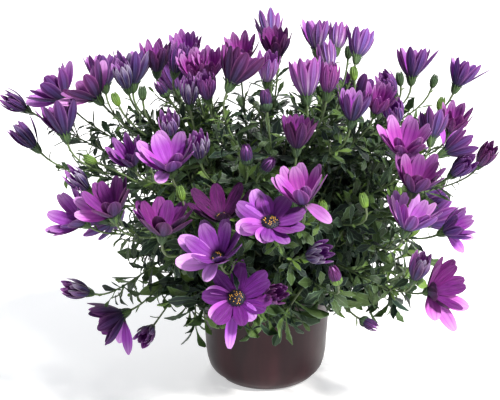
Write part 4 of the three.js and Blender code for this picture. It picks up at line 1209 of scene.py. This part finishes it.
def leafy_shoots(stem, draw):
    """The shoots that make the plant's face, in clumps, the youngest leaves on the highest."""
    for point, normal in places_on(stem.facets, SHOOTS["count"], draw):
        way = habit(point, normal, draw)
        clump = 0.5 + 0.5 * sin(point[0] / 17 + stem.sector) * sin(point[2] / 15 + 2 * stem.sector)
        root = point - normal * (2 + 8 * draw() + SHOOTS["clump"] * clump)
        branch(stem, root, way, draw)
        length = SHOOTS["short"] + (SHOOTS["long"] - SHOOTS["short"]) * draw()
        youth = draw() ** (2.4 - 1.2 * clipped((point[2] - SHOOTS["young from"]) / SHOOTS["young over"]))
        size = SHOOTS["size"] + SHOOTS["size low down"] * low_down(point, "skirt")
        shoot(stem, root, way, length, SHOOTS["leaves"], youth, size, draw)


def cover(stem, draw):
    """Dark leaves behind the shoots, a few to a place, darkened by painted shade."""
    for point, normal in places_on(stem.facets, COVER["count"], draw):
        root = point - normal * (COVER["sunk"] + 20 * draw())
        way = unit(normal + scattered(draw, 1))
        branch(stem, root, way, draw, COVER["radius"], 4, 4)
        for _ in range(COVER["leaves"]):
            turn = draw() * ROUND
            opening, size = 0.5 + 0.6 * draw(), 20 + 10 * draw()
            leaf_at(stem, root, way, turn, opening, size, 0, COVER["shade"], draw, deep=True)


def skirt(stem, draw):
    """Shoots that droop over the rim all round, but for the bearings where the photo shows the bare pot."""
    low, high = (radians(bearing) for bearing in SKIRT["bare"])
    for i in range(SKIRT["count"]):
        turn = bearing_of(stem.sector) + (2 * (i + draw()) / SKIRT["count"] - 1) * pi / SECTORS
        if low < turn < high:
            continue
        outward = np.array([cos(turn), sin(turn), 0])
        root = outward * (SKIRT["radius"] + spread(draw, 5)) + UP * (SKIRT["height"] + spread(draw, 7))
        way = unit(outward - UP * (0.2 + 0.7 * draw()) + scattered(draw, 0.4, 2))
        branch(stem, root, way, draw)
        length, youth = SKIRT["length"] + 16 * draw(), 0.6 * draw()
        shoot(stem, root, way, length, SKIRT["leaves"], youth, SKIRT["size"], draw, -0.5)


# ---- pot and soil

# Radius and height along the pot's outside, its inside and the soil's wall.
POT_OUTER = [
    (41, 0), (41.8, 0), (47, 0), (48.2, 0.3), (49.8, 1.2), (52, 3), (54, 5), (56.4, 8), (58.2, 11),
    (60, 17.5), (61.2, 26), (62.6, 50), (63.6, 72), (64, 83.4), (64.3, 84), (65, 84.1), (65.4, 84.7),
    (65.6, 88), (65.9, 97), (65.9, 98.8), (65.5, 99.7), (64.9, 100), (64, 100), (63.4, 99.7), (63.1, 99),
]
POT_INNER = [(62.2, 84), (61.4, 60), (59.6, 28), (56.6, 13), (53.6, 7), (49, 3.1), (46, 2.5), (20, 2.5)]
SOIL_WALL = [
    (2, 2.9), (30, 2.9), (40.4, 2.9), (45.6, 2.9), (48.6, 3.6), (52.6, 7.4), (55.6, 13.4), (58.6, 28),
    (60.4, 60), (60.8, 84), (60.6, 86.6),
]
NOTCH = {"count": 3, "height": 6, "spread": 20, "first": -26, "from": 41.5, "soft": 1.5, "wall": 1.8}


def ring_of(radius, heights):
    """One ring of points round the pot's axis."""
    turns = turns_of(len(heights))
    return np.stack([radius * np.cos(turns), radius * np.sin(turns), heights], axis=1)


def notches_of(count):
    """How far the base is notched at each of its bearings, 0 to 1."""
    every = 360 / NOTCH["count"]
    apart = (np.degrees(turns_of(count)) - NOTCH["first"] + every / 2) % every - every / 2
    return np.clip((NOTCH["spread"] / 2 - np.abs(apart)) / NOTCH["soft"], 0, 1)


def one_skin(rings, name, material, slot, node):
    sheets = Sheets()
    sheets.skin(np.array(rings))
    sheets.piece(name, [material], slot, node)


def pot(material):
    """The pot as one skin from under its base, up outside, over the lip and down to the floor; where the
    base is notched, the floor inside rises with it."""
    notches = notches_of(180)
    profile = [(2, 0), (20, 0), *POT_OUTER, *POT_INNER, (2, 2.5)]
    outside = len(POT_OUTER) + 2
    rings = []
    for i, (radius, z) in enumerate(profile):
        lift = NOTCH["height"] if i < outside else NOTCH["height"] + NOTCH["wall"]
        heights = np.full(len(notches), float(z))
        if radius > NOTCH["from"]:
            heights = np.maximum(heights, notches * lift * (0.92 if radius < 42 else 1))
        rings.append(ring_of(radius, heights))
    one_skin(rings, "pot_shell", material, "pot_plastic", "pot")


def soil(material):
    """The peat: its wall a little inside the pot's, its top mounded and crumbly."""
    draw = draws(SEEDS["soil"])
    notches = notches_of(96)
    rings = []
    for radius, z in SOIL_WALL:
        lifted = notches * (NOTCH["height"] + NOTCH["wall"] + 0.4) * (radius > NOTCH["from"])
        rings.append(ring_of(radius, np.maximum(z, lifted)))
    for radius in range(58, 1, -2):
        mound = SOIL_TOP + 3 * (1 - (radius / 60) ** 2)
        crumbs = np.array([draw() for _ in notches])
        rings.append(ring_of(radius, mound + 2.6 * (crumbs - 0.5) * min(1, (60 - radius) / 8 + 0.3)))
    one_skin(rings, "peat", material, "peat", "soil")


# ---- the whole plant


def plant(petals, discs, leafy, stemmy):
    blooms = {**front_blooms(), **back_blooms()}
    for node in sorted(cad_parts):
        if node.startswith("bloom"):
            sheets = Sheets()
            for number in node.split("_")[1:]:
                corolla(sheets, blooms[int(number)])
            sheets.piece(node.replace("bloom", "corolla"), [petals, discs], "petals", node)

    stems = [Stem(sector) for sector in range(SECTORS)]
    bloom_stalks(stems, blooms)
    buds(stems)
    for i, at in enumerate(HANGING):
        hanging_shoot(stems, *at, draws(SEEDS["hanging"] + i))
    for number, stem in enumerate(stems, 1):
        draw = draws(SEEDS["shoots"] + stem.sector)
        main_stem(stem)
        leafy_shoots(stem, draw)
        cover(stem, draw)
        skirt(stem, draw)
        node = f"leafy_stem_{number}"
        stem.leaves.piece(f"leaves_{number}", [leafy], "foliage", node)
        stem.wood.piece(f"stems_{number}", [stemmy, leafy, petals], "foliage", node)


# ---- floor, lights and camera


def aimed(thing, way):
    """Turns a lamp or a camera to look along a direction."""
    thing.rotation_mode = "QUATERNION"
    thing.rotation_quaternion = Vector(way).to_track_quat("-Z", "Y")
    return thing


def disc_floor(radius, material):
    mesh = bpy.data.meshes.new("floor")
    points = [(radius * cos(turn), radius * sin(turn), 0) for turn in turns_of(96)]
    mesh.from_pydata(points, [], [list(range(len(points)))])
    mesh.materials.append(material)
    floor = placed("floor", mesh)


def area_light(name, place, size, power, colour):
    """A square light that looks at the middle of the plant."""
    data = bpy.data.lights.new(name, "AREA")
    data.shape, data.size, data.energy, data.color = "SQUARE", size, power, colour
    aimed(placed(name, data, place), np.array([0, 0, 0.2]) - np.array(place))


def camera():
    data = bpy.data.cameras.new("camera")
    data.sensor_width = 36
    data.lens = data.sensor_width * PHOTO["focal"] / PHOTO["width"]
    data.clip_start, data.clip_end = 0.01, 100
    bpy.context.scene.camera = aimed(placed("camera", data, EYE * MM), AIM - EYE)


def studio():
    world = bpy.data.worlds.new("studio")
    world.use_nodes = True
    background = world.node_tree.nodes["Background"]
    background.inputs["Color"].default_value = (0.86, 0.92, 1.0, 1)
    background.inputs["Strength"].default_value = 0.41
    bpy.context.scene.world = world
    bpy.context.scene.view_settings.view_transform = "Standard"
    area_light("key", (3.1, -2.5, 4.5), 0.9, 760, (1.0, 0.97, 0.93))
    area_light("backdrop", (0, 4.5, 3.2), 2.4, 160, (1.0, 1.0, 1.0))
    disc_floor(14, floor_material())
    camera()


studio()
pot(pot_material())
soil(soil_material())
plant(petal_material(), disc_material(), leaf_material(), stem_material())
